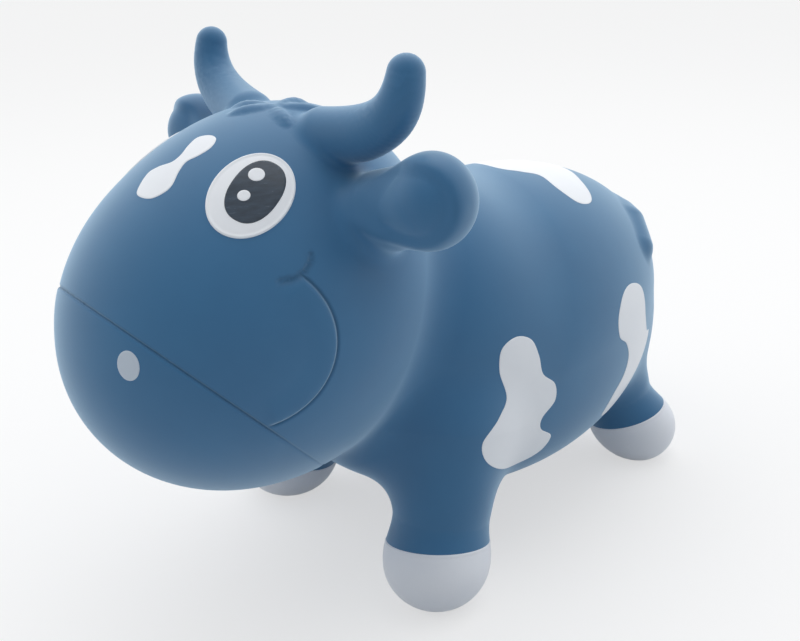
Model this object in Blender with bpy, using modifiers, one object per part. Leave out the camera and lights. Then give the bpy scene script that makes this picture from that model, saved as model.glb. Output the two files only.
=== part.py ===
"""An inflated ride-on cow: a bouncy toy with one hollow, rotationally moulded skin of soft PVC.

The skin is modelled as its moulded sections. Their forms are soft eggs and limbs that swell into
each other, described by distance formulas, so that every section, hollow and paint patch follows
the same surface. Metres, +Z up. The cow faces -Y and its left is +X. The origin is on the floor
under the middle of the cow.
"""

import math
from collections import namedtuple

import bmesh
import bpy
import numpy as np
from mathutils import Matrix

# Skin, paint and gaps
WALL = 0.0026
GAP = 0.0003
PAINT_DEPTH = 0.0008
OVERRUN = 0.006
FLOOR_Z = 0.0

# Torso: an egg lying along Y, rump end raised, with a squarer section below its middle
TORSO_Y = 0.0796
TORSO_Z = 0.1601
TORSO_HALF_WIDTH = 0.129
TORSO_HALF_LENGTH = 0.1968
TORSO_BACK_HEIGHT = 0.1253
TORSO_BELLY_DEPTH = 0.110
TORSO_PITCH_DEGREES = 5.9
BELLY_SQUARENESS = 3.4

# Neck: a rounder egg between the torso and the head
NECK_Y = 0.0013
NECK_Z = 0.1939
NECK_HALF_WIDTH = 0.1115
NECK_HALF_LENGTH = 0.0989
NECK_HALF_HEIGHT = 0.1137
NECK_BLEND = 0.030

# Head: an egg with its muzzle end tipped down, and the low mound between the horns
HEAD_Y = -0.1325
HEAD_Z = 0.2369
HEAD_HALF_WIDTH = 0.1122
HEAD_HALF_LENGTH = 0.1441
HEAD_HALF_HEIGHT = 0.1276
HEAD_PITCH_DEGREES = 12.9
POLL_Y = -0.1065
POLL_Z = 0.300
POLL_HALF_WIDTH = 0.050
POLL_HALF_LENGTH = 0.070
POLL_HALF_HEIGHT = 0.061
POLL_BLEND = 0.050

# Creases pressed into the head: round the muzzle, behind each cheek, and the smile ticks
CREASE_RADIUS = 0.0010
MUZZLE_SLOPE_DEGREES = -48.9
MUZZLE_LINE_Z = 0.1323
CHEEK_ARC_Y = -0.2005
CHEEK_ARC_Z = 0.2575
CHEEK_ARC_RADIUS = 0.054
CHEEK_ARC_START_DEGREES = -74.0
CHEEK_ARC_END_DEGREES = 40.0
SMILE_LENGTH = 0.027
SMILE_SHARES = ((-0.55, 0.02), (-0.28, 0.01), (0.05, 0.11), (0.26, 0.28), (0.32, 0.40))

# Horns: a bent taper on each side of the crown, at shares of the head's half sizes from its middle
HORN_ROOT_SHARES = (0.3957, 0.2304, 0.9655)
HORN_ELBOW_SHARES = (0.8173, 0.3047, 0.9890)
HORN_RISE_SHARES = (0.9911, 0.2859, 1.1027)
HORN_TIP_SHARES = (0.9813, 0.3234, 1.3009)
HORN_ROOT_RADIUS = 0.0188
HORN_TIP_RADIUS = 0.0117

# Ears: a thick paddle on a short root
EAR_X = 0.1361
EAR_Y = -0.0909
EAR_Z = 0.3318
EAR_HALF_REACH = 0.0264
EAR_HALF_THICKNESS = 0.0242
EAR_HALF_HEIGHT = 0.0280
EAR_SWEEP_DEGREES = 26.2
EAR_LIFT_DEGREES = 4.5
EAR_ROOT_X = 0.0937
EAR_ROOT_Y = -0.0933
EAR_ROOT_Z = 0.3160
EAR_ROOT_RADIUS = 0.0260
EAR_BLEND = 0.015

# Forelock: locks of hair that fan out from one point of the crown
LOCK_X = 0.010
LOCK_Y = -0.1135
LOCK_RADIUS = 0.0050
LOCK_PROUD = -0.0010
LOCK_LENGTH = 0.033
LOCK_FANS = ((68.0, 1.0), (108.0, 0.90), (206.0, 0.85), (250.0, 0.80), (342.0, 0.70))
LOCK_PROFILE_SHARES = ((-0.12, 0.40), (0.10, 0.75), (0.45, 1.0), (0.80, 0.80), (0.95, 0.45))

# Tail: moulded down on the rump, its tuft lying to the left. Its points lie in the direction of
# shares of the torso's half sizes, at a depth below the torso's surface.
TAIL_SHARES = (
    (0.0, 0.8582, 0.4860), (0.2636, 0.7642, 0.5299), (0.4651, 0.6855, 0.5100), (0.6318, 0.6194, 0.4062),
)
TAIL_ROOT_DEPTH = 0.0090
TAIL_BEND_DEPTH = 0.0118
TAIL_TUFT_DEPTH = 0.0092
TAIL_END_DEPTH = 0.0073
TAIL_ROOT_RADIUS = 0.0125
TAIL_TUFT_RADIUS = 0.0160
TAIL_END_RADIUS = 0.0135

# Legs and hooves. Feet and tops stand at shares of the torso's half width and half length.
LEG_TOP_Z = 0.130
LEG_SHOULDER_SWELL = 0.010
LEG_NODE_SHARES = (0.28, 0.45, 1.0)
LEG_CENTRE_SHARE = 0.70
LEG_BLEND = 0.030
LEG_FLARE = 0.018
HOOF_CENTRE_Z = 0.028
HOOF_HALF_HEIGHT = 0.031
HOOF_BLEND = 0.012
HOOF_SOLE = 0.0045
FRONT_FOOT_SHARES = (0.7729, -0.7017)
FRONT_TOP_SHARES = (0.6101, -0.5264)
FRONT_HOOF_RADIUS = 0.0409
FRONT_ANKLE_RADIUS = 0.0360
FRONT_HOOF_LINE_Z = 0.0470
REAR_FOOT_SHARES = (0.6651, 0.7038)
REAR_TOP_SHARES = (0.3589, 0.5727)
REAR_HOOF_RADIUS = 0.0348
REAR_ANKLE_RADIUS = 0.0323
REAR_HOOF_LINE_Z = 0.0410

# Air valve in the belly: a moulded-in collar and the plug pushed up into it
VALVE_Y = 0.0895
VALVE_BORE_RADIUS = 0.0048
VALVE_COLLAR_RADIUS = 0.0130
VALVE_COLLAR_HEIGHT = 0.0150
VALVE_COLLAR_PROUD = 0.0008
VALVE_CHAMFER = 0.0012
PLUG_CLEARANCE = 0.0001
PLUG_HEAD_RADIUS = 0.0095
PLUG_HEAD_HEIGHT = 0.0032
PLUG_RIB_DEPTH = 0.0005
PLUG_RIB_COUNT = 3
PLUG_PITCH = 0.0042
PLUG_TIP_LENGTH = 0.0040
PLUG_TIP_RADIUS = 0.0026

# Eyes: a raised white plate with the pupil and two glints let into it
EYE_X = 0.0600
EYE_Y = -0.1665
EYE_Z = 0.3365
EYE_FACING_DEGREES = (-23.0, 51.0)
EYE_HALF_WIDTH = 0.0241
EYE_HALF_HEIGHT = 0.0318
EYE_TILT_DEGREES = -46.0
EYE_PROUD = 0.0010
PUPIL_HALF_WIDTH = 0.0153
PUPIL_HALF_HEIGHT = 0.0233
PUPIL_SHIFT = (0.0022, 0.0006)
GLINT_UPPER = (0.0050, 0.0118)
GLINT_LOWER = (-0.0056, -0.0020)
GLINT_UPPER_RADIUS = 0.0052
GLINT_LOWER_RADIUS = 0.0040

# Nostrils
NOSTRIL_X = 0.0525
NOSTRIL_Y = -0.2567
NOSTRIL_Z = 0.2518
NOSTRIL_FACING_DEGREES = (-56.0, 10.0)
NOSTRIL_HALF_WIDTH = 0.0074
NOSTRIL_HALF_HEIGHT = 0.0094

# Sprayed patches: where each is centred, the way it faces and its outline as shares of its size
FLANK_Y = 0.0065
FLANK_Z = 0.146
FLANK_SIZE = 0.0575
FLANK_SHARES = (
    (0.00, 1.00), (-0.24, 0.90), (-0.30, 0.62), (-0.24, 0.26), (-0.42, 0.05), (-0.70, -0.18),
    (-0.66, -0.47), (-0.36, -0.74), (0.12, -0.98), (0.50, -0.92), (0.65, -0.68), (0.44, -0.48),
    (0.44, -0.30), (0.64, -0.10), (0.62, 0.16), (0.40, 0.38), (0.34, 0.66), (0.24, 0.90),
)
HAUNCH_Y = 0.1525
HAUNCH_Z = 0.148
HAUNCH_SIZE = 0.056
HAUNCH_SHARES = (
    (-0.06, 0.96), (-0.36, 0.90), (-0.57, 0.62), (-0.54, 0.33), (-0.32, 0.14), (-0.21, -0.12),
    (-0.30, -0.38), (-0.56, -0.64), (-0.70, -0.94), (-0.40, -1.00), (0.10, -0.80), (0.52, -0.46),
    (0.70, -0.10), (0.56, -0.02), (0.42, 0.30), (0.28, 0.78),
)
BACK_X = 0.000
BACK_Y = 0.1445
BACK_SIZE = 0.070
BACK_SHARES = (
    (-0.30, -0.46), (0.08, -0.52), (0.30, -0.37), (0.46, -0.22), (0.74, -0.24), (0.97, -0.16),
    (1.00, 0.04), (0.88, 0.22), (0.60, 0.38), (0.24, 0.55), (-0.20, 0.56), (-0.62, 0.40),
    (-0.80, 0.08), (-0.64, -0.26),
)
BLAZE_X = 0.009
BLAZE_Y = -0.1945
BLAZE_SIZE = 0.032
BLAZE_SHARES = (
    (0.30, 0.88), (0.08, 0.88), (-0.11, 0.70), (-0.07, 0.44), (0.02, 0.19), (0.00, -0.04),
    (-0.22, -0.26), (-0.32, -0.49), (-0.15, -0.88), (0.06, -0.96), (0.34, -0.88), (0.49, -0.66),
    (0.51, -0.44), (0.37, -0.13), (0.31, 0.11), (0.40, 0.36), (0.43, 0.65),
)
BLAZE_FACING_DEGREES = (-90.0, 67.0)
PATCH_CELL = 0.017
PLATE_CELL = 0.012
DRAPE_REACH = 0.045

Leg = namedtuple("Leg", "foot top hoof ankle line")
FRONT_LEG = Leg(
    FRONT_FOOT_SHARES, FRONT_TOP_SHARES, FRONT_HOOF_RADIUS, FRONT_ANKLE_RADIUS, FRONT_HOOF_LINE_Z)
REAR_LEG = Leg(
    REAR_FOOT_SHARES, REAR_TOP_SHARES, REAR_HOOF_RADIUS, REAR_ANKLE_RADIUS, REAR_HOOF_LINE_Z)
SIDES = (("left", 1), ("right", -1))


# Distance formulas. Each takes an array of points and gives metres, negative inside the form.

def turn_x(degrees):
    """Rotation about X as a 3 x 3 array."""
    cosine, sine = math.cos(math.radians(degrees)), math.sin(math.radians(degrees))
    return np.array([[1, 0, 0], [0, cosine, -sine], [0, sine, cosine]])


def turn_y(degrees):
    """Rotation about Y as a 3 x 3 array."""
    cosine, sine = math.cos(math.radians(degrees)), math.sin(math.radians(degrees))
    return np.array([[cosine, 0, sine], [0, 1, 0], [-sine, 0, cosine]])


def turn_z(degrees):
    """Rotation about Z as a 3 x 3 array."""
    cosine, sine = math.cos(math.radians(degrees)), math.sin(math.radians(degrees))
    return np.array([[cosine, -sine, 0], [sine, cosine, 0], [0, 0, 1]])


def mirrored(points, side):
    """The points as seen from the left half, for a form given by its left side."""
    return points * np.array([side, 1, 1])


def egg(points, centre, turn, half_sizes, below=None, squareness=2.0):
    """Distance to an egg. Below its middle it may have its own depth and a squarer section."""
    local = (points - np.array(centre)) @ turn
    width, length, height = half_sizes
    low = local[..., 2] < 0
    power = np.where(low, squareness, 2.0)
    depth = np.where(low, height if below is None else below, height)
    across = np.abs(local[..., 0]) / width
    along = np.abs(local[..., 1]) / length
    up = np.abs(local[..., 2]) / depth
    section = np.maximum(across**power + up**power, 1e-12)
    size = np.maximum(np.sqrt(section ** (2 / power) + along**2), 1e-9)
    swell = section ** (2 / power - 1) / size
    slope = np.sqrt(
        (swell * across ** (power - 1) / width) ** 2
        + (swell * up ** (power - 1) / depth) ** 2
        + (along / length / size) ** 2
    )
    steepest = 1 / max(width, length, height)
    return (size - 1) / np.maximum(slope, steepest / 2)


def limb(points, path, radii):
    """Distance to a round limb that follows a path, with a radius at each of its points."""
    nearest = None
    for start, end, start_radius, end_radius in zip(path, path[1:], radii, radii[1:]):
        start, run = np.array(start), np.array(end) - np.array(start)
        share = np.clip((points - start) @ run / (run @ run), 0, 1)
        offset = np.linalg.norm(points - start - share[..., None] * run, axis=-1)
        distance = offset - start_radius - (end_radius - start_radius) * share
        nearest = distance if nearest is None else np.minimum(nearest, distance)
    return nearest


def blend(first, second, reach):
    """Joins two distances with a round fillet that starts where they differ by reach."""
    share = np.clip(0.5 + 0.5 * (second - first) / reach, 0, 1)
    return second * (1 - share) + first * share - reach * share * (1 - share)


def trunk_form(points):
    """Torso and neck."""
    torso = egg(
        points, (0, TORSO_Y, TORSO_Z), turn_x(TORSO_PITCH_DEGREES),
        (TORSO_HALF_WIDTH, TORSO_HALF_LENGTH, TORSO_BACK_HEIGHT),
        below=TORSO_BELLY_DEPTH, squareness=BELLY_SQUARENESS,
    )
    neck = egg(
        points, (0, NECK_Y, NECK_Z), np.eye(3),
        (NECK_HALF_WIDTH, NECK_HALF_LENGTH, NECK_HALF_HEIGHT),
    )
    return blend(torso, neck, NECK_BLEND)


def head_form(points):
    """Head with the mound that carries the horns and the forelock."""
    skull = egg(
        points, (0, HEAD_Y, HEAD_Z), turn_x(HEAD_PITCH_DEGREES),
        (HEAD_HALF_WIDTH, HEAD_HALF_LENGTH, HEAD_HALF_HEIGHT),
    )
    poll = egg(
        points, (0, POLL_Y, POLL_Z), np.eye(3),
        (POLL_HALF_WIDTH, POLL_HALF_LENGTH, POLL_HALF_HEIGHT),
    )
    return blend(skull, poll, POLL_BLEND)


def leg_axis(leg):
    """Foot and top of the leg's axis on the left side."""
    ends = []
    for (across, along), height in ((leg.foot, FLOOR_Z), (leg.top, LEG_TOP_Z)):
        ends.append(np.array([across * TORSO_HALF_WIDTH, TORSO_Y + along * TORSO_HALF_LENGTH, height]))
    return ends


def limb_form(points, leg, side):
    """Leg and hoof, without the flare at the belly."""
    points = mirrored(points, side)
    foot, top = leg_axis(leg)
    path = [foot + (top - foot) * share for share in LEG_NODE_SHARES]
    shank = limb(points, path, (leg.ankle, leg.ankle, leg.ankle + LEG_SHOULDER_SWELL))
    hoof = egg(
        points, foot + np.array([0, 0, HOOF_CENTRE_Z]), np.eye(3),
        (leg.hoof, leg.hoof, HOOF_HALF_HEIGHT),
    )
    return blend(hoof, shank, HOOF_BLEND)


def leg_form(points, leg, side):
    """Leg and hoof with the flare that runs out on the trunk."""
    shank = limb_form(points, leg, side)
    return np.maximum(blend(shank, trunk_form(points), LEG_BLEND), shank - LEG_FLARE)


def body_form(points):
    """Trunk and all four legs as one skin."""
    distance = trunk_form(points)
    for leg in (FRONT_LEG, REAR_LEG):
        for _, side in SIDES:
            distance = blend(distance, limb_form(points, leg, side), LEG_BLEND)
    return distance


def ear_form(points, side):
    """Ear paddle and its root."""
    points = mirrored(points, side)
    centre = (EAR_X, EAR_Y, EAR_Z)
    turn = turn_z(-EAR_SWEEP_DEGREES) @ turn_y(EAR_LIFT_DEGREES)
    paddle = egg(points, centre, turn, (EAR_HALF_REACH, EAR_HALF_THICKNESS, EAR_HALF_HEIGHT))
    root = (EAR_ROOT_X, EAR_ROOT_Y, EAR_ROOT_Z)
    neck = limb(points, (root, centre), (EAR_ROOT_RADIUS, EAR_HALF_THICKNESS * 0.8))
    return blend(paddle, neck, EAR_BLEND)


# Scene and mesh helpers

def clear_scene():
    """Removes every object that is already in the scene."""
    for thing in list(bpy.data.objects):
        bpy.data.objects.remove(thing, do_unlink=True)


def new_collection(name):
    """A collection linked to the scene."""
    collection = bpy.data.collections.new(name)
    bpy.context.scene.collection.children.link(collection)
    return collection


def material(name, colour, roughness, coat=0.0):
    """A Principled material from an sRGB colour."""
    linear = [c / 12.92 if c <= 0.04045 else ((c + 0.055) / 1.055) ** 2.4 for c in colour]
    made = bpy.data.materials.new(name)
    made.use_nodes = True
    shader = made.node_tree.nodes["Principled BSDF"]
    shader.inputs["Base Color"].default_value = (*linear, 1)
    shader.inputs["Roughness"].default_value = roughness
    shader.inputs["Metallic"].default_value = 0
    shader.inputs["Coat Weight"].default_value = coat
    made.diffuse_color = (*linear, 1)
    return made


def place(name, mesh, finish=None):
    """Makes an object of the mesh: a part if it has a finish, and otherwise a cutter."""
    thing = bpy.data.objects.new(name, mesh)
    if finish is None:
        thing.hide_render = True
        thing.display_type = "WIRE"
        CUTTERS.objects.link(thing)
        return thing
    mesh.materials.clear()
    mesh.materials.append(finish)
    PARTS.objects.link(thing)
    mesh.shade_smooth()
    mesh.set_sharp_from_angle(angle=math.radians(40))
    return thing


def bake(thing):
    """The evaluated mesh of an object, which is then removed."""
    bpy.context.view_layer.update()
    graph = bpy.context.evaluated_depsgraph_get()
    mesh = bpy.data.meshes.new_from_object(thing.evaluated_get(graph))
    bpy.data.objects.remove(thing, do_unlink=True)
    return mesh


def boolean(thing, other, operation="DIFFERENCE", first=False):
    """Adds an exact Boolean modifier, after the others or before them."""
    modifier = thing.modifiers.new(f"{operation.lower()}_{other.name}", "BOOLEAN")
    modifier.operation = operation
    modifier.object = other
    modifier.solver = "EXACT"
    if first:
        thing.modifiers.move(len(thing.modifiers) - 1, 0)


def surface(form, centre, directions, level, reach):
    """Points where rays from inside the form leave it, at a level of its distance."""
    low = np.zeros(len(directions))
    high = np.full(len(directions), reach)
    for _ in range(40):
        middle = (low + high) / 2
        inside = form(centre + directions * middle[:, None]) < level
        low = np.where(inside, middle, low)
        high = np.where(inside, high, middle)
    return centre + directions * high[:, None]


def aligned(axis):
    """A rotation, as a 3 x 3 array, that takes +Z to the axis."""
    axis = np.array(axis) / np.linalg.norm(axis)
    across = np.cross([0, 1, 0] if abs(axis[1]) < 0.9 else [0, 0, 1], axis)
    across /= np.linalg.norm(across)
    return np.stack([across, np.cross(axis, across), axis], axis=1)


def ball(name, form, centre, half_sizes, segments, rings, pole=(0, 0, 1), level=0.0, planes=()):
    """A sphere swollen out from the centre until it meets the form, then cut flat by the planes."""
    bm = bmesh.new()
    bmesh.ops.create_uvsphere(bm, u_segments=segments, v_segments=rings, radius=1.0)
    centre = np.array(centre, float)
    spread = np.array([vertex.co for vertex in bm.verts]) * np.array(half_sizes)
    spread = spread @ aligned(pole).T
    directions = spread / np.linalg.norm(spread, axis=1)[:, None]
    swollen = surface(form, centre, directions, level, 3 * max(half_sizes))
    for vertex, point in zip(bm.verts, swollen):
        vertex.co = point
    for point, normal in planes:
        everything = bm.verts[:] + bm.edges[:] + bm.faces[:]
        bmesh.ops.bisect_plane(bm, geom=everything, plane_co=point, plane_no=normal, clear_outer=True)
        rim = [edge for edge in bm.edges if edge.is_boundary]
        bmesh.ops.holes_fill(bm, edges=rim)
    mesh = bpy.data.meshes.new(name)
    bm.to_mesh(mesh)
    bm.free()
    return mesh


def tube(name, path, radii, sides=2, closed=False):
    """A round rod along a path, or a ring if it is closed, with a radius at each point."""
    curve = bpy.data.curves.new(name, "CURVE")
    curve.dimensions = "3D"
    curve.bevel_depth = 1.0
    curve.bevel_resolution = sides
    curve.use_fill_caps = True
    spline = curve.splines.new("POLY")
    spline.points.add(len(path) - 1)
    spline.use_cyclic_u = closed
    for point, place_on_path, radius in zip(spline.points, path, radii):
        point.co = (*place_on_path, 1)
        point.radius = radius
    return welded(curve, name)


def welded(curve, name):
    """The curve as a mesh, with its loose caps joined to its sides."""
    guide = bpy.data.objects.new(name, curve)
    CUTTERS.objects.link(guide)
    mesh = bake(guide)
    bm = bmesh.new()
    bm.from_mesh(mesh)
    bmesh.ops.remove_doubles(bm, verts=bm.verts, dist=1e-6)
    bmesh.ops.recalc_face_normals(bm, faces=bm.faces)
    bm.to_mesh(mesh)
    bm.free()
    return mesh


def turned(name, profile, centre, steps=32):
    """A ring or a solid turned about a vertical axis from an (r, z) profile, top to bottom."""
    bm = bmesh.new()
    points = [bm.verts.new((radius, 0, height)) for radius, height in profile]
    for start, end in zip(points, points[1:]):
        bm.edges.new((start, end))
    mesh = bpy.data.meshes.new(name)
    bm.to_mesh(mesh)
    bm.free()
    guide = bpy.data.objects.new(name, mesh)
    CUTTERS.objects.link(guide)
    screw = guide.modifiers.new("turn", "SCREW")
    screw.steps = steps
    screw.render_steps = steps
    screw.use_merge_vertices = True
    screw.merge_threshold = 0.00001
    mesh = bake(guide)
    mesh.transform(Matrix.Translation(centre))
    bm = bmesh.new()
    bm.from_mesh(mesh)
    bmesh.ops.recalc_face_normals(bm, faces=bm.faces)
    bm.to_mesh(mesh)
    bm.free()
    return mesh


# Flat blanks, cut to an outline and draped over a form

def smooth_loop(corners, steps=3):
    """A closed curve through the corners."""
    corners = np.array(corners, float)
    before, after = np.roll(corners, 1, axis=0), np.roll(corners, -1, axis=0)
    beyond = np.roll(corners, -2, axis=0)
    loop = []
    for a, b, c, d in zip(before, corners, after, beyond):
        for step in range(steps):
            t = step / steps
            loop.append(
                0.5 * (2 * b + (c - a) * t + (2 * a - 5 * b + 4 * c - d) * t**2
                       + (3 * b - a - 3 * c + d) * t**3)
            )
    return np.array(loop)


def ellipse(half_width, half_height, centre=(0, 0), tilt_degrees=0.0, points=28):
    """A closed ellipse, counterclockwise."""
    angles = np.arange(points) * 2 * math.pi / points
    flat = np.stack([half_width * np.cos(angles), half_height * np.sin(angles)], axis=1)
    return flat @ turn_z(tilt_degrees)[:2, :2].T + np.array(centre)


def grown(loop, amount):
    """The closed loop moved out by an amount, along its own normals."""
    tangent = np.roll(loop, -1, axis=0) - np.roll(loop, 1, axis=0)
    normal = np.stack([tangent[:, 1], -tangent[:, 0]], axis=1)
    normal /= np.linalg.norm(normal, axis=1)[:, None]
    x, y = loop[:, 0], loop[:, 1]
    turns = np.sign((x * np.roll(y, -1) - np.roll(x, -1) * y).sum())
    return loop + normal * amount * turns


def facing_axes(azimuth, elevation, side):
    """Across, up and outward directions of a plate that faces this way on the left side."""
    azimuth, elevation = math.radians(azimuth), math.radians(elevation)
    out = np.array([
        math.cos(elevation) * math.cos(azimuth) * side,
        math.cos(elevation) * math.sin(azimuth),
        math.sin(elevation),
    ])
    across = np.array([-math.sin(azimuth) * side, math.cos(azimuth), 0.0])
    return across, np.cross(out, across) * side, out


def draped(name, form, origin, facing, side, loops, cell, low, high, grow=0.0):
    """A plate between two levels of the form. The first loop is its outline, the others are holes."""
    across, up, out = facing_axes(*facing, side)
    span = np.abs(loops[0]).max() + cell
    cells = 2 * math.ceil(span / cell)
    bm = bmesh.new()
    bmesh.ops.create_grid(bm, x_segments=cells, y_segments=cells, size=span)
    slab_mesh = bpy.data.meshes.new(name)
    bm.to_mesh(slab_mesh)
    bm.free()
    slab = bpy.data.objects.new(name, slab_mesh)
    CUTTERS.objects.link(slab)
    solidify = slab.modifiers.new("thickness", "SOLIDIFY")
    solidify.thickness = cell
    solidify.offset = 0
    curve = bpy.data.curves.new(name, "CURVE")
    curve.dimensions = "2D"
    curve.fill_mode = "BOTH"
    curve.extrude = cell
    for index, loop in enumerate(loops):
        spline = curve.splines.new("POLY")
        spline.points.add(len(loop) - 1)
        spline.use_cyclic_u = True
        outline = grown(loop, grow if index == 0 else -grow)
        for point, (u, v) in zip(spline.points, outline):
            point.co = (u, v, 0, 1)
    prism = place(f"{name}_outline", welded(curve, name))
    boolean(slab, prism, "INTERSECT")
    mesh = bake(slab)
    bpy.data.objects.remove(prism, do_unlink=True)
    flat = np.array([vertex.co for vertex in mesh.vertices])
    base = np.array(origin) * np.array([side, 1, 1])
    start = base + flat[:, :1] * across + flat[:, 1:2] * up - out * DRAPE_REACH
    level = np.where(flat[:, 2] > 0, high, low)
    laid = surface(form, start, np.tile(out, (len(flat), 1)), level, 2 * DRAPE_REACH)
    for vertex, point in zip(mesh.vertices, laid):
        vertex.co = point
    if side < 0:
        mesh.flip_normals()
    return mesh


def painted(name, carriers, form, origin, facing, side, loops, finish, cell=PATCH_CELL, proud=0.0):
    """A painted plate let into its carriers, which get a recess that is a gap larger."""
    shape = (form, origin, facing, side, loops, cell)
    recess = place(f"{name}_recess", draped(
        f"{name}_recess", *shape, low=-PAINT_DEPTH - 2 * GAP, high=OVERRUN, grow=GAP))
    for carrier in carriers:
        boolean(carrier, recess, first=True)
    return place(name, draped(name, *shape, low=-PAINT_DEPTH, high=proud), finish)


# Sections of the skin

def build_trunk(finish):
    """Torso and neck shell, open where the head and the legs join it."""
    sizes = (TORSO_HALF_WIDTH, TORSO_BACK_HEIGHT, TORSO_HALF_LENGTH)
    centre = (0, TORSO_Y, TORSO_Z)
    shell = place("torso_shell", ball("torso_shell", trunk_form, centre, sizes, 36, 22, (0, 1, 0)), finish)
    hollow = place("torso_hollow", ball(
        "torso_hollow", trunk_form, centre, sizes, 20, 12, (0, 1, 0), level=-WALL))
    clear = place("torso_clearance", ball(
        "torso_clearance", trunk_form, centre, sizes, 36, 22, (0, 1, 0), level=GAP))
    boolean(shell, hollow)
    return shell, hollow, clear


def build_head(finish, trunk_shell, trunk_hollow):
    """Head shell, open into the neck."""
    sizes = (HEAD_HALF_WIDTH, HEAD_HALF_HEIGHT, HEAD_HALF_LENGTH)
    centre = (0, HEAD_Y, HEAD_Z)
    shell = place("head_shell", ball("head_shell", head_form, centre, sizes, 32, 20, (0, 1, 0)), finish)
    hollow = place("head_hollow", ball(
        "head_hollow", head_form, centre, sizes, 20, 12, (0, 1, 0), level=-WALL))
    clear = place("head_clearance", ball(
        "head_clearance", head_form, centre, sizes, 32, 20, (0, 1, 0), level=GAP))
    boolean(shell, hollow)
    boolean(shell, trunk_hollow)
    boolean(trunk_shell, clear)
    return shell, clear


def muzzle_crease():
    """The closed line round the muzzle, where a sloping plane meets the head."""
    slope = math.radians(MUZZLE_SLOPE_DEGREES)
    along = np.array([0, math.cos(slope), math.sin(slope)])
    centre = np.array([0, HEAD_Y, MUZZLE_LINE_Z])
    angles = np.arange(40) * 2 * math.pi / 40
    directions = np.outer(np.cos(angles), [1, 0, 0]) + np.outer(np.sin(angles), along)
    return surface(head_form, centre, directions, 0.0, 3 * HEAD_HALF_LENGTH)


def on_cheek(sketch, side):
    """Points of a side sketch, as (y, z), laid on the side of the head."""
    start = np.array([(0, y, z) for y, z in sketch])
    out = np.tile([side, 0, 0], (len(start), 1)).astype(float)
    return surface(head_form, start, out, 0.0, 2 * HEAD_HALF_WIDTH)


def cheek_crease(side):
    """The arc behind a cheek, and the smile tick at its top."""
    angles = np.radians(np.linspace(CHEEK_ARC_START_DEGREES, CHEEK_ARC_END_DEGREES, 14))
    arc = [
        (CHEEK_ARC_Y + CHEEK_ARC_RADIUS * math.cos(a), CHEEK_ARC_Z + CHEEK_ARC_RADIUS * math.sin(a))
        for a in angles
    ]
    end_y, end_z = arc[-1]
    tick = [(end_y + SMILE_LENGTH * y, end_z + SMILE_LENGTH * z) for y, z in SMILE_SHARES]
    return on_cheek(arc, side), on_cheek(tick, side)


def press_creases(head_shell):
    """Cuts the creases into the head."""
    lines = {"muzzle_crease": muzzle_crease()}
    for name, side in SIDES:
        lines[f"{name}_cheek_crease"], lines[f"{name}_smile_crease"] = cheek_crease(side)
    for name, line in lines.items():
        radii = [CREASE_RADIUS] * len(line)
        groove = tube(name, line, radii, sides=0, closed=name == "muzzle_crease")
        boolean(head_shell, place(name, groove))


def at_shares(centre, half_sizes, shares):
    """A point at shares of an egg's half sizes from its middle."""
    return np.array(centre) + np.array(half_sizes) * np.array(shares)


def horn_path(side, inset=0.0):
    """Centre line and radii of a horn, with rounded ends."""
    root, elbow, rise, tip = (
        at_shares((0, HEAD_Y, HEAD_Z), (HEAD_HALF_WIDTH * side, HEAD_HALF_LENGTH, HEAD_HALF_HEIGHT), shares)
        for shares in (HORN_ROOT_SHARES, HORN_ELBOW_SHARES, HORN_RISE_SHARES, HORN_TIP_SHARES)
    )
    inward = (root - elbow) / np.linalg.norm(elbow - root)
    path, radii = [], []
    for share in (0.985, 0.85, 0.6, 0.3):
        path.append(root + inward * share * (HORN_ROOT_RADIUS - inset))
        radii.append((HORN_ROOT_RADIUS - inset) * math.sqrt(1 - share**2))
    for step in range(10):
        t = step / 9
        path.append(
            (1 - t) ** 3 * root + 3 * t * (1 - t) ** 2 * elbow + 3 * t**2 * (1 - t) * rise + t**3 * tip)
        radii.append(HORN_ROOT_RADIUS + (HORN_TIP_RADIUS - HORN_ROOT_RADIUS) * t - inset)
    upward = (tip - rise) / np.linalg.norm(tip - rise)
    for share in (0.4, 0.7, 0.9, 0.985):
        path.append(tip + upward * share * (HORN_TIP_RADIUS - inset))
        radii.append((HORN_TIP_RADIUS - inset) * math.sqrt(1 - share**2))
    return path, radii


def build_horn(name, side, finish, head_shell, head_clear):
    """A horn, open into the head at its root."""
    horn = place(f"{name}_horn", tube(f"{name}_horn", *horn_path(side), sides=4), finish)
    hollow = place(f"{name}_horn_hollow", tube(f"{name}_horn_hollow", *horn_path(side, WALL), sides=1))
    boolean(horn, hollow)
    boolean(horn, head_clear)
    boolean(head_shell, hollow)
    return place(f"{name}_horn_clearance", tube(f"{name}_horn_clearance", *horn_path(side, -GAP), sides=4))


def build_ear(name, side, finish, head_shell, head_clear):
    """An ear, open into the head at its root."""
    centre = (EAR_X * side, EAR_Y, EAR_Z)
    sizes = (EAR_HALF_HEIGHT, EAR_HALF_THICKNESS, EAR_X - EAR_ROOT_X)
    pole = (side * (EAR_X - EAR_ROOT_X), EAR_Y - EAR_ROOT_Y, EAR_Z - EAR_ROOT_Z)

    def form(points):
        return ear_form(points, side)

    ear = place(f"{name}_ear", ball(f"{name}_ear", form, centre, sizes, 20, 14, pole), finish)
    hollow = place(f"{name}_ear_hollow", ball(
        f"{name}_ear_hollow", form, centre, sizes, 12, 8, pole, level=-WALL))
    boolean(ear, hollow)
    boolean(ear, head_clear)
    boolean(head_shell, hollow)


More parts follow.
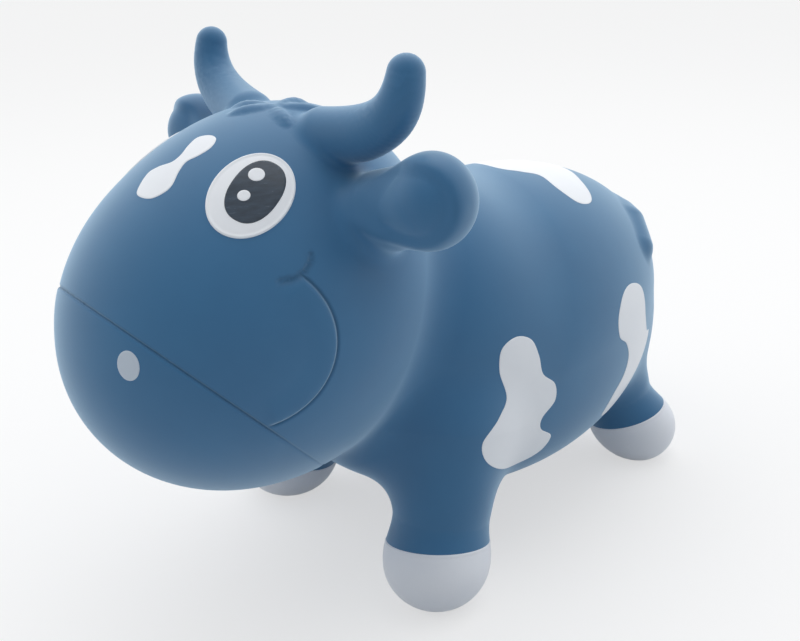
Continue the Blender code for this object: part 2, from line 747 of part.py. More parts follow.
def build_leg(name, leg, side, finishes, trunk_shell, trunk_hollow, head_clear):
    """A leg, with the ring of belly skin round it, and the cupped hoof that it opens into."""
    foot, top = (point * np.array([side, 1, 1]) for point in leg_axis(leg))
    axis = (top - foot) / np.linalg.norm(top - foot)
    centre = foot + (top - foot) * LEG_CENTRE_SHARE
    line = foot + axis * leg.line / axis[2]
    sizes = (leg.hoof, leg.hoof, LEG_TOP_Z / 2)

    def form(points):
        return leg_form(points, leg, side)

    def ring_form(points):
        return limb_form(points, leg, side)

    above = (line + axis * GAP / 2, -axis)
    below = (line - axis * GAP / 2, axis)
    ground = ((0, 0, FLOOR_Z), (0, 0, -1))
    sole = ((0, 0, FLOOR_Z + HOOF_SOLE), (0, 0, -1))
    sleeve = place(f"{name}_leg", ball(
        f"{name}_leg", form, centre, sizes, 26, 18, axis, planes=[above]), finishes["skin"])
    hoof = place(f"{name}_hoof", ball(
        f"{name}_hoof", form, centre, sizes, 26, 18, axis, planes=[below, ground]), finishes["hoof"])
    hollow = place(f"{name}_leg_hollow", ball(
        f"{name}_leg_hollow", form, centre, sizes, 16, 10, axis, level=-WALL, planes=[sole]))
    ring = place(f"{name}_leg_ring", ball(
        f"{name}_leg_ring", ring_form, centre, sizes, 26, 18, axis, level=LEG_FLARE + GAP))
    boolean(sleeve, trunk_hollow)
    boolean(sleeve, hollow)
    boolean(sleeve, head_clear)
    boolean(hoof, hollow)
    boolean(trunk_shell, ring)
    return sleeve


def build_tail(finish, trunk_shell, trunk_clear):
    """The moulded tail, open into the rump."""
    middle = np.array((0, TORSO_Y, TORSO_Z))
    depths = (TAIL_ROOT_DEPTH, TAIL_BEND_DEPTH, TAIL_TUFT_DEPTH, TAIL_END_DEPTH)
    path = []
    for shares, depth in zip(TAIL_SHARES, depths):
        out = np.array((TORSO_HALF_WIDTH, TORSO_HALF_LENGTH, TORSO_BACK_HEIGHT)) * np.array(shares)
        out = out[None] / np.linalg.norm(out)
        path.append(surface(trunk_form, middle, out, -depth, 2 * TORSO_HALF_LENGTH)[0])
    radii = (TAIL_ROOT_RADIUS, TAIL_ROOT_RADIUS, TAIL_TUFT_RADIUS, TAIL_END_RADIUS)
    centre = (path[1] + path[2]) / 2
    pole = path[-1] - path[0]
    sizes = (TAIL_TUFT_RADIUS, TAIL_TUFT_RADIUS, np.linalg.norm(pole) / 2)

    def form(points):
        return limb(points, path, radii)

    tail = place("tail", ball("tail", form, centre, sizes, 16, 12, pole), finish)
    hollow = place("tail_hollow", ball("tail_hollow", form, centre, sizes, 10, 8, pole, level=-WALL))
    boolean(tail, hollow)
    boolean(tail, trunk_clear)
    boolean(trunk_shell, hollow)


def build_forelock(finish, carriers):
    """The locks on the crown between the horns."""
    lock = None
    for index, (degrees, length_share) in enumerate(LOCK_FANS):
        angle = math.radians(degrees)
        reach = LOCK_LENGTH * length_share
        path = [
            (LOCK_X + reach * share * math.cos(angle), LOCK_Y + reach * share * math.sin(angle), HEAD_Z)
            for share, _ in LOCK_PROFILE_SHARES
        ]
        up = np.tile([0.0, 0.0, 1.0], (len(path), 1))
        laid = surface(head_form, np.array(path), up, LOCK_PROUD, 2 * HEAD_HALF_HEIGHT)
        radii = [LOCK_RADIUS * share for _, share in LOCK_PROFILE_SHARES]
        if lock is None:
            lock = place("forelock", tube("forelock", laid, radii, sides=2), finish)
            continue
        strand = place(f"lock_{index}", tube(f"lock_{index}", laid, radii, sides=2))
        boolean(lock, strand, "UNION")
    for carrier in carriers:
        boolean(lock, carrier)


def build_valve(collar_finish, plug_finish, trunk_shell):
    """The collar moulded into the belly and the plug in its bore."""
    start = np.array([[0, VALVE_Y, TORSO_Z]])
    belly = surface(trunk_form, start, np.array([[0.0, 0.0, -1.0]]), 0.0, 2 * TORSO_BELLY_DEPTH)[0, 2]
    seat = np.array([0, VALVE_Y, belly])
    face = -VALVE_COLLAR_PROUD
    top = face + VALVE_COLLAR_HEIGHT
    outer, bore = VALVE_COLLAR_RADIUS, VALVE_BORE_RADIUS
    collar = [
        (bore, top), (outer - VALVE_CHAMFER, top), (outer, top - VALVE_CHAMFER),
        (outer, face + VALVE_CHAMFER), (outer - VALVE_CHAMFER, face), (bore, face), (bore, top),
    ]
    place("valve_collar", turned("valve_collar", collar, seat), collar_finish)
    wide, above, below = outer + GAP, top + OVERRUN, face - OVERRUN
    passage = [(0, above), (wide, above), (wide, below), (0, below)]
    boolean(trunk_shell, place("valve_passage", turned("valve_passage", passage, seat)))

    rib = bore - PLUG_CLEARANCE
    shank = rib - PLUG_RIB_DEPTH
    neck_end = face + PLUG_RIB_COUNT * PLUG_PITCH
    tip_end = neck_end + PLUG_TIP_LENGTH
    profile = [(0, tip_end), (PLUG_TIP_RADIUS, tip_end), (shank, neck_end)]
    for index in range(PLUG_RIB_COUNT):
        crest = neck_end - (index + 0.5) * PLUG_PITCH
        profile += [(shank, crest + PLUG_RIB_DEPTH * 1.6), (rib, crest), (shank, crest - PLUG_RIB_DEPTH)]
    under = face - GAP
    profile += [(shank, under), (PLUG_HEAD_RADIUS, under)]
    for degrees in range(0, 90, 18):
        angle = math.radians(degrees)
        profile.append((
            PLUG_HEAD_RADIUS - PLUG_HEAD_HEIGHT * (1 - math.cos(angle)),
            under - PLUG_HEAD_HEIGHT * (0.3 + 0.7 * math.sin(angle)),
        ))
    profile.append((0, under - PLUG_HEAD_HEIGHT))
    place("valve_plug", turned("valve_plug", profile, seat, steps=24), plug_finish)


def build_eye(name, side, head_shell, finishes):
    """White plate, pupil and glints, let into each other."""
    origin = (EYE_X, EYE_Y, EYE_Z)
    white = ellipse(EYE_HALF_WIDTH, EYE_HALF_HEIGHT, tilt_degrees=EYE_TILT_DEGREES)
    pupil = ellipse(PUPIL_HALF_WIDTH, PUPIL_HALF_HEIGHT, PUPIL_SHIFT, EYE_TILT_DEGREES)
    glints = [
        ellipse(GLINT_UPPER_RADIUS, GLINT_UPPER_RADIUS, GLINT_UPPER, points=12),
        ellipse(GLINT_LOWER_RADIUS, GLINT_LOWER_RADIUS, GLINT_LOWER, points=12),
    ]
    shape = (head_form, origin, EYE_FACING_DEGREES, side)
    levels = {"low": -PAINT_DEPTH, "high": EYE_PROUD}
    recess = draped(
        f"{name}_eye_recess", *shape, [white], PLATE_CELL, -PAINT_DEPTH - GAP, OVERRUN, grow=GAP)
    boolean(head_shell, place(f"{name}_eye_recess", recess), first=True)
    ring = [white, grown(pupil, GAP)]
    dark = [pupil] + [grown(glint, GAP) for glint in glints]
    plates = [(f"{name}_eye_white", ring, "white"), (f"{name}_pupil", dark, "pupil")]
    for level, glint in zip(("upper", "lower"), glints):
        plates.append((f"{name}_{level}_glint", [glint], "white"))
    for plate, loops, finish in plates:
        place(plate, draped(plate, *shape, loops, PLATE_CELL, **levels), finishes[finish])


def scaled(shares, size):
    """An outline in metres from shares of a size."""
    return smooth_loop([(u * size, v * size) for u, v in shares], steps=2)


clear_scene()
PARTS = new_collection("bouncy_ride_on_cow")
CUTTERS = new_collection("cutters")


def main():
    """Builds the cow section by section."""
    skin = material("soft_blue_pvc", (0.36, 0.50, 0.63), 0.55)
    white = material("sprayed_white", (0.86, 0.89, 0.93), 0.5)
    hoof = material("sprayed_hoof_white", (0.80, 0.83, 0.88), 0.5)
    navy = material("sprayed_navy_gloss", (0.07, 0.10, 0.16), 0.25, coat=0.5)
    plug = material("valve_plug_white", (0.88, 0.89, 0.90), 0.4)
    finishes = {"skin": skin, "hoof": hoof, "white": white, "pupil": navy}

    trunk, trunk_hollow, trunk_clear = build_trunk(skin)
    head, head_clear = build_head(skin, trunk, trunk_hollow)
    legs = {}
    for row, leg in (("front", FRONT_LEG), ("rear", REAR_LEG)):
        for name, side in SIDES:
            legs[row, name] = build_leg(
                f"{row}_{name}", leg, side, finishes, trunk, trunk_hollow, head_clear)
    crown = [head_clear]
    for name, side in SIDES:
        crown.append(build_horn(name, side, skin, head, head_clear))
        build_ear(name, side, skin, head, head_clear)
    build_tail(skin, trunk, trunk_clear)
    build_forelock(skin, crown)
    build_valve(skin, plug, trunk)
    press_creases(head)

    for name, side in SIDES:
        build_eye(name, side, head, finishes)
        nostril = [ellipse(NOSTRIL_HALF_WIDTH, NOSTRIL_HALF_HEIGHT, points=16)]
        place_of_nostril = (NOSTRIL_X, NOSTRIL_Y, NOSTRIL_Z)
        painted(
            f"{name}_nostril", [head], head_form, place_of_nostril, NOSTRIL_FACING_DEGREES, side,
            nostril, hoof, PLATE_CELL)
        flank = (TORSO_HALF_WIDTH, FLANK_Y, FLANK_Z)
        painted(
            f"{name}_flank_patch", [trunk, legs["front", name]], body_form, flank, (0.0, 0.0), side,
            [scaled(FLANK_SHARES, FLANK_SIZE)], white)
        haunch = (TORSO_HALF_WIDTH, HAUNCH_Y, HAUNCH_Z)
        painted(
            f"{name}_haunch_patch", [trunk, legs["rear", name]], body_form, haunch, (0.0, 0.0), side,
            [scaled(HAUNCH_SHARES, HAUNCH_SIZE)], white)
    back = (BACK_X, BACK_Y, TORSO_Z + TORSO_BACK_HEIGHT)
    painted(
        "back_patch", [trunk], body_form, back, (-90.0, 90.0), 1,
        [scaled(BACK_SHARES, BACK_SIZE)], white)
    blaze = (BLAZE_X, BLAZE_Y, HEAD_Z + HEAD_HALF_HEIGHT)
    painted(
        "blaze_patch", [head], head_form, blaze, BLAZE_FACING_DEGREES, 1,
        [scaled(BLAZE_SHARES, BLAZE_SIZE)], white, PLATE_CELL)


main()
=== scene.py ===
"""Looks of the inflated ride-on cow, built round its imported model.

The real cow is one hollow skin of soft PVC, so its sections are cut from one continuous surface and
keep their shading across every seam. The surface is the zero level of a distance field: eggs and
limbs that swell into each other, with creases pressed in. Paint lies on it as thin draped films.
Metres, +Z up; the cow faces -Y and its left is +X.
"""

import logging
import math
from dataclasses import dataclass, field
from enum import Enum
from typing import Callable, Protocol

import bmesh
import bpy
import numpy as np
from mathutils import Matrix, Vector
from mathutils.geometry import delaunay_2d_cdt


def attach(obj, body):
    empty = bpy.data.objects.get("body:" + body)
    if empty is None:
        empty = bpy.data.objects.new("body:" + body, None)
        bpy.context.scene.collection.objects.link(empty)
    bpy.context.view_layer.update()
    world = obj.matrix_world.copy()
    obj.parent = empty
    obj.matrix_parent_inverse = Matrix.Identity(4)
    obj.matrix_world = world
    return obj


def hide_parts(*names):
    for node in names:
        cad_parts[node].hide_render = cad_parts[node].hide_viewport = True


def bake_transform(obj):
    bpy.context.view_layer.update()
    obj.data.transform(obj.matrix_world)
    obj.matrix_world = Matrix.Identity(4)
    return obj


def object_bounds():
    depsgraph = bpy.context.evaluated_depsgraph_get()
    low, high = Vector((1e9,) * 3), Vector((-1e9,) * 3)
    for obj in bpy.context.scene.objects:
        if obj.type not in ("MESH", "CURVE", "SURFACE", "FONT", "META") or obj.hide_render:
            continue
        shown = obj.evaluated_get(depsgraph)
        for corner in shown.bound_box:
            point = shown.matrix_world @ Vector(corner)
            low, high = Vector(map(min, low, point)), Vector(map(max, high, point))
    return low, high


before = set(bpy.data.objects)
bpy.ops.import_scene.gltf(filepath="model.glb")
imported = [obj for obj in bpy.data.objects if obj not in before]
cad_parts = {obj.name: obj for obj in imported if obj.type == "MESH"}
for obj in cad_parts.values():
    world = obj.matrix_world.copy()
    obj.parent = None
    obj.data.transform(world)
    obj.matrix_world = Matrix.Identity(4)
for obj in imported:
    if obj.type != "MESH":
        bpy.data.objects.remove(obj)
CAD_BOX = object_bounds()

LOG = logging.getLogger("ride_on_cow")

Array = np.ndarray
Pair = tuple[float, float]
Triple = tuple[float, float, float]

MILLIMETRE = 0.001
# Halvings that bring a ray's length down to far less than a micron.
HALVINGS = 32
IMAGE_WIDTH = 800
IMAGE_HEIGHT = 641


class Side(Enum):
    """Which half of the cow a paired piece is on."""

    LEFT = 1
    RIGHT = -1

    @property
    def word(self) -> str:
        """The side's name as used in piece names."""
        return self.name.lower()


class Row(Enum):
    """Which pair of legs a leg belongs to."""

    FRONT = "front"
    REAR = "rear"


class Slot(Enum):
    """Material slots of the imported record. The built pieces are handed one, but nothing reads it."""

    SKIN = "skin_pvc"
    WHITE = "white_paint"
    HOOF = "hoof_paint"
    PUPIL = "pupil_paint"


# ---- Distance forms ----


def turn(yaw: float = 0.0, lift: float = 0.0, pitch: float = 0.0) -> Array:
    """Rotation matrix of a yaw about Z, after a lift about Y, after a pitch about X.

    Args:
        yaw: Degrees about Z.
        lift: Degrees about Y.
        pitch: Degrees about X.

    Returns:
        A 3 x 3 array whose columns are the turned axes.
    """
    made = np.eye(3)
    for angle, axis in ((yaw, "Z"), (lift, "Y"), (pitch, "X")):
        made = made @ np.array(Matrix.Rotation(math.radians(angle), 3, axis))
    return made


def blend(first: Array, second: Array, reach: float) -> Array:
    """Joins two distances with a round fillet.

    Args:
        first: Distances to one form.
        second: Distances to the other form.
        reach: The fillet starts where the two differ by this much.

    Returns:
        The joined distances.
    """
    share = np.clip(0.5 + 0.5 * (second - first) / reach, 0, 1)
    return second * (1 - share) + first * share - reach * share * (1 - share)


def bump(offset: Array, width: float) -> Array:
    """A smooth hump, 1 at offset 0, that has run out at about twice its width."""
    return np.exp(-((offset / width) ** 2))


def ramp(value: Array, low: float, high: float) -> Array:
    """A smooth step from 0 at low to 1 at high."""
    share = np.clip((value - low) / (high - low), 0, 1)
    return share * share * (3 - 2 * share)


def swell(offset: Array, rise: Pair, fall: Pair) -> Array:
    """A smooth roll that rises over one stretch of the offset and falls over a later one."""
    return ramp(offset, *rise) * (1 - ramp(offset, *fall))


def facing_axes(facing: Pair, side: Side = Side.LEFT) -> tuple[Array, Array, Array]:
    """Directions of something that faces a given way.

    Args:
        facing: Azimuth from +X and elevation, in degrees, as on the left.
        side: The side it is on.

    Returns:
        Its across, up and outward unit vectors.
    """
    azimuth, elevation = (math.radians(angle) for angle in facing)
    flip = side.value
    out = np.array([
        math.cos(elevation) * math.cos(azimuth) * flip,
        math.cos(elevation) * math.sin(azimuth),
        math.sin(elevation),
    ])
    across = np.array([-math.sin(azimuth) * flip, math.cos(azimuth), 0.0])
    return across, np.cross(out, across) * flip, out


class Form(Protocol):
    """Anything with a distance, negative inside, and a box beyond which it has no effect."""

    def distance(self, points: Array) -> Array:
        """Distances of the points, negative inside."""

    def box(self, margin: float) -> tuple[Array, Array]:
        """Lowest and highest corner of the form's room."""


@dataclass(frozen=True)
class Egg:
    """A swollen egg. Below its middle it may have its own depth and a squarer section."""

    centre: Triple
    half: Triple
    yaw: float = 0.0
    lift: float = 0.0
    pitch: float = 0.0
    depth: float | None = None
    squareness: float = 2.0

    def distance(self, points: Array) -> Array:
        """Distances of the points, negative inside.

        Args:
            points: Points to measure, one a row.

        Returns:
            One distance for each point.
        """
        local = (points - np.array(self.centre)) @ turn(self.yaw, self.lift, self.pitch)
        width, length, height = self.half
        across = np.abs(local[:, 0]) / width
        along = np.abs(local[:, 1]) / length
        if self.depth is None:
            size = np.maximum(np.sqrt(across**2 + along**2 + (local[:, 2] / height) ** 2), 1e-9)
            slope = np.sqrt(
                (across / width) ** 2 + (along / length) ** 2 + (local[:, 2] / height**2) ** 2
            ) / size
            return (size - 1) / np.maximum(slope, 0.5 / max(self.half))
        low = local[:, 2] < 0
        power = np.where(low, self.squareness, 2.0)
        depth = np.where(low, self.depth, height)
        up = np.abs(local[:, 2]) / depth
        section = np.maximum(across**power + up**power, 1e-12)
        size = np.maximum(np.sqrt(section ** (2 / power) + along**2), 1e-9)
        swell = section ** (2 / power - 1) / size
        slope = np.sqrt(
            (swell * across ** (power - 1) / width) ** 2
            + (swell * up ** (power - 1) / depth) ** 2
            + (along / length / size) ** 2
        )
        return (size - 1) / np.maximum(slope, 0.5 / max(self.half))

    def box(self, margin: float) -> tuple[Array, Array]:
        """Lowest and highest corner of the form's room."""
        reach = max(self.half) + margin
        return np.array(self.centre) - reach, np.array(self.centre) + reach


@dataclass(frozen=True)
class Limb:
    """A round limb that follows a path, with a radius at each of its points."""

    path: tuple[Triple, ...]
    radii: tuple[float, ...]

    def distance(self, points: Array) -> Array:
        """Distances of the points, negative inside.

        Args:
            points: Points to measure, one a row.

        Returns:
            One distance for each point.
        """
        nearest = np.full(len(points), np.inf)
        for start, end, radius, next_radius in zip(self.path, self.path[1:], self.radii, self.radii[1:]):
            run = np.array(end) - np.array(start)
            from_start = points - np.array(start)
            share = np.clip(from_start @ run / (run @ run), 0, 1)
            offset = np.linalg.norm(from_start - share[:, None] * run, axis=1)
            nearest = np.minimum(nearest, offset - radius - (next_radius - radius) * share)
        return nearest

    def box(self, margin: float) -> tuple[Array, Array]:
        """Lowest and highest corner of the form's room."""
        reach = max(self.radii) + margin
        return np.min(self.path, axis=0) - reach, np.max(self.path, axis=0) + reach


@dataclass(frozen=True)
class Fused:
    """Forms that swell into each other."""

    forms: tuple[Form, ...]
    reach: float

    def distance(self, points: Array) -> Array:
        """Distances of the points, negative inside.

        Args:
            points: Points to measure, one a row.

        Returns:
            One distance for each point.
        """
        total = self.forms[0].distance(points)
        for form in self.forms[1:]:
            total = blend(total, form.distance(points), self.reach)
        return total

    def box(self, margin: float) -> tuple[Array, Array]:
        """Lowest and highest corner of the form's room."""
        boxes = [form.box(margin) for form in self.forms]
        return np.min([low for low, _ in boxes], axis=0), np.max([high for _, high in boxes], axis=0)


@dataclass(frozen=True)
class Mirrored:
    """A form of the left half, moved to the right half."""

    form: Form

    def distance(self, points: Array) -> Array:
        """Distances of the points, negative inside."""
        return self.form.distance(points * np.array([-1, 1, 1]))

    def box(self, margin: float) -> tuple[Array, Array]:
        """Lowest and highest corner of the form's room."""
        low, high = self.form.box(margin)
        return np.array([-high[0], low[1], low[2]]), np.array([-low[0], high[1], high[2]])


def on_side(form: Form, side: Side) -> Form:
    """The form as it is on the left, or mirrored to the right."""
    return form if side is Side.LEFT else Mirrored(form)


def meet(form: Form, start: Array, way: Array, level: float = 0.0, reach: float = 0.3) -> Array:
    """Where rays that start inside a form leave one of its levels.

    Args:
        form: The form to meet.
        start: Start of each ray, inside the form.
        way: Unit direction of each ray.
        level: The distance to stop at.
        reach: Length of the rays.

    Returns:
        One point for each ray.
    """
    low, high = np.zeros(len(start)), np.full(len(start), reach)
    for _ in range(HALVINGS):
        middle = (low + high) / 2
        inside = form.distance(start + way * middle[:, None]) < level
        low, high = np.where(inside, middle, low), np.where(inside, high, middle)
    return start + way * high[:, None]


# ---- Sections of the moulded skin ----


@dataclass(frozen=True)
class Trunk:
    """Torso and neck."""

    torso: Egg = Egg((0, 0.0796, 0.1601), (0.129, 0.1968, 0.1253), pitch=5.9, depth=0.110, squareness=3.4)
    neck: Egg = Egg((0, 0.0013, 0.1939), (0.1115, 0.0989, 0.1137))
    fillet: float = 0.030

    def form(self) -> Form:
        """The trunk's form."""
        return Fused((self.torso, self.neck), self.fillet)


@dataclass(frozen=True)
class Head:
    """Skull and the mound between the horns."""

    skull: Egg = Egg((0, -0.1325, 0.2369), (0.1122, 0.1441, 0.1276), pitch=12.9)
    poll: Egg = Egg((0, -0.1065, 0.300), (0.050, 0.070, 0.061))
    poll_fillet: float = 0.050
    neck_fillet: float = 0.020

    def form(self) -> Form:
        """The head's form."""
        return Fused((self.skull, self.poll), self.poll_fillet)


@dataclass(frozen=True)
class Horn:
    """A bent, tapering horn, given on the left."""

    root: Triple = (0.0444, -0.0993, 0.3580)
    elbow: Triple = (0.0917, -0.0886, 0.3631)
    rise: Triple = (0.1112, -0.0913, 0.3776)
    tip: Triple = (0.1101, -0.0859, 0.4029)
    root_radius: float = 0.0188
    tip_radius: float = 0.0117
    bend_swell: float = 0.0008
    fillet: float = 0.007
    steps: int = 26

    def form(self) -> Form:
        """The horn's form.

        Returns:
            A limb along the cubic curve that its four points steer.
        """
        root, elbow, rise, tip = (np.array(point) for point in (self.root, self.elbow, self.rise, self.tip))
        path, radii = [], []
        for t in np.linspace(0, 1, self.steps):
            point = (1 - t) ** 3 * root + 3 * t * (1 - t) ** 2 * elbow + 3 * t**2 * (1 - t) * rise + t**3 * tip
            path.append(tuple(point))
            taper = self.root_radius + (self.tip_radius - self.root_radius) * t
            radii.append(taper + self.bend_swell * math.sin(math.pi * t))
        return Limb(tuple(path), tuple(radii))


@dataclass(frozen=True)
class Dished:
    """A form whose face is pressed in to a shallow dish with a rolled rim.

    The wall, the rim's place and its width are shares of the dish's radius.
    """

    form: Form
    centre: Triple
    facing: Pair
    radius: float
    stretch: float
    depth: float
    rim_height: float
    wall: Pair = (0.62, 0.98)
    rim_at: float = 1.02
    rim_width: float = 0.10
    front_share: float = 0.4

    def distance(self, points: Array) -> Array:
        """Distances of the points, negative inside.

        Args:
            points: Points to measure, one a row.

        Returns:
            One distance for each point.
        """
        local = points - np.array(self.centre)
        along, up, ahead = (local @ axis for axis in facing_axes(self.facing))
        along = np.where(along < 0, along / self.stretch, along)
        share = np.hypot(along, up) / self.radius
        front = ramp(ahead, 0.0, self.front_share * self.radius)
        rim = self.rim_height * bump(share - self.rim_at, self.rim_width)
        pressed = self.depth * (1 - ramp(share, *self.wall)) - rim
        return self.form.distance(points) + front * pressed

    def box(self, margin: float) -> tuple[Array, Array]:
        """Lowest and highest corner of the form's room."""
        return self.form.box(margin)


@dataclass(frozen=True)
class Ear:
    """A thick paddle with a dished face, on a short root, given on the left."""

    paddle: Egg = Egg((0.1359, -0.0909, 0.3318), (0.0258, 0.0242, 0.0280), yaw=-26.2, lift=4.5)
    root: Triple = (0.0937, -0.0933, 0.3160)
    root_radius: float = 0.0262
    neck_radius: float = 0.0252
    root_fillet: float = 0.012
    fillet: float = 0.012
    dish_at: Triple = (0.1335, -0.0925, 0.3312)
    dish_facing: Pair = (-64.0, 8.0)
    dish_radius: float = 0.0262
    dish_stretch: float = 2.2
    dish_depth: float = 0.0034
    rim_height: float = 0.0005

    def form(self) -> Form:
        """The ear's form.

        Returns:
            The paddle on its root, with its face dished.
        """
        neck = Limb((self.root, self.paddle.centre), (self.root_radius, self.neck_radius))
        whole = Fused((self.paddle, neck), self.root_fillet)
        return Dished(
            whole, self.dish_at, self.dish_facing, self.dish_radius, self.dish_stretch, self.dish_depth,
            self.rim_height)


@dataclass(frozen=True)
class Tail:
    """The tail, moulded down on the rump."""

    path: tuple[Triple, ...] = (
        (0.000, 0.2485, 0.2210),
        (0.018, 0.2405, 0.2250),
        (0.034, 0.2300, 0.2265),
        (0.048, 0.2222, 0.2258),
        (0.060, 0.2145, 0.2240),
        (0.0815, 0.2015, 0.2110),
    )
    radii: tuple[float, ...] = (0.0125, 0.0118, 0.0125, 0.0148, 0.0160, 0.0135)
    fillet: float = 0.008

    def form(self) -> Form:
        """The tail's form."""
        return Limb(self.path, self.radii)


@dataclass(frozen=True)
class Forelock:
    """Leaf-shaped locks that fan out from one point of the crown."""

    crown: Pair = (0.010, -0.1135)
    length: float = 0.033
    radius: float = 0.0062
    sink: float = 0.0030
    start_height: float = 0.25
    fillet: float = 0.0026
    fans: tuple[Pair, ...] = ((68.0, 1.0), (108.0, 0.90), (206.0, 0.85), (250.0, 0.80), (342.0, 0.70))
    profile_shares: tuple[Pair, ...] = (
        (0.02, 0.50), (0.18, 0.70), (0.36, 0.88), (0.55, 0.98), (0.72, 1.0), (0.86, 0.92), (0.95, 0.80),
    )

    def forms(self, head: Form) -> list[Form]:
        """Lays the locks on the head.

        Args:
            head: The form they lie on.

        Returns:
            One form for each lock.
        """
        made: list[Form] = []
        for degrees, length_share in self.fans:
            angle = math.radians(degrees)
            reach = self.length * length_share
            run = np.array([math.cos(angle), math.sin(angle)])
            flat = np.array([
                (*(self.crown + reach * share * run), self.start_height) for share, _ in self.profile_shares
            ])
            up = np.tile([0.0, 0.0, 1.0], (len(flat), 1))
            laid = meet(head, flat, up, level=-self.sink)
            radii = tuple(self.radius * share for _, share in self.profile_shares)
            made.append(Limb(tuple(map(tuple, laid)), radii))
        return made


@dataclass(frozen=True)
class Leg:
    """A leg and its hoof, given on the left.

    The paint line is a height on the leg's axis, and its slope the rise along x and y. The squash band gives
    two heights above the paint, which are worked out but not used.
    """

    row: Row
    foot: Pair
    top: Pair
    hoof_radius: float
    ankle_radius: float
    paint_line: float
    paint_slope: Pair
    top_height: float = 0.130
    shoulder_swell: float = 0.010
    node_shares: Triple = (0.28, 0.45, 1.0)
    hoof_centre: float = 0.028
    hoof_half_height: float = 0.034
    hoof_fillet: float = 0.012
    fillet: float = 0.023
    squash_band: Pair = (0.0300, 0.0010)

    def ends(self, side: Side = Side.LEFT) -> tuple[Array, Array]:
        """Foot and top of the leg's axis."""
        flip = np.array([side.value, 1, 1])
        return np.array([*self.foot, 0.0]) * flip, np.array([*self.top, self.top_height]) * flip

    def form(self) -> Form:
        """The leg's form.

        Returns:
            The hoof and the shank, swollen into each other.
        """
        foot, top = self.ends()
        path = tuple(tuple(foot + (top - foot) * share) for share in self.node_shares)
        shank = Limb(path, (self.ankle_radius, self.ankle_radius, self.ankle_radius + self.shoulder_swell))
        centre = tuple(foot + np.array([0, 0, self.hoof_centre]))
        hoof = Egg(centre, (self.hoof_radius, self.hoof_radius, self.hoof_half_height))
        return Fused((hoof, shank), self.hoof_fillet)

    def paint_plane(self, side: Side) -> tuple[Array, Array]:
        """The plane that the hoof is painted up to.

        Args:
            side: The side the leg is on.

        Returns:
            A point of the plane and its upward unit normal.
        """
        foot, top = self.ends(side)
        at = foot + (top - foot) * self.paint_line / self.top_height
        normal = np.array([-self.paint_slope[0] * side.value, -self.paint_slope[1], 1.0])
        return at, normal / np.linalg.norm(normal)

    def name(self, side: Side) -> str:
        """The leg's name without its last word."""
        return f"{self.row.value}_{side.word}"


LEGS = (
    Leg(
        Row.FRONT, foot=(0.0997, -0.0585), top=(0.0787, -0.0240), hoof_radius=0.0398, ankle_radius=0.0374,
        paint_line=0.0405, paint_slope=(0.277, -0.266)),
    Leg(
        Row.REAR, foot=(0.0858, 0.2181), top=(0.0463, 0.1923), hoof_radius=0.0348, ankle_radius=0.0323,
        paint_line=0.0410, paint_slope=(0.304, 0.198)),
)
LEG_SIDES = tuple((leg, side) for leg in LEGS for side in Side)


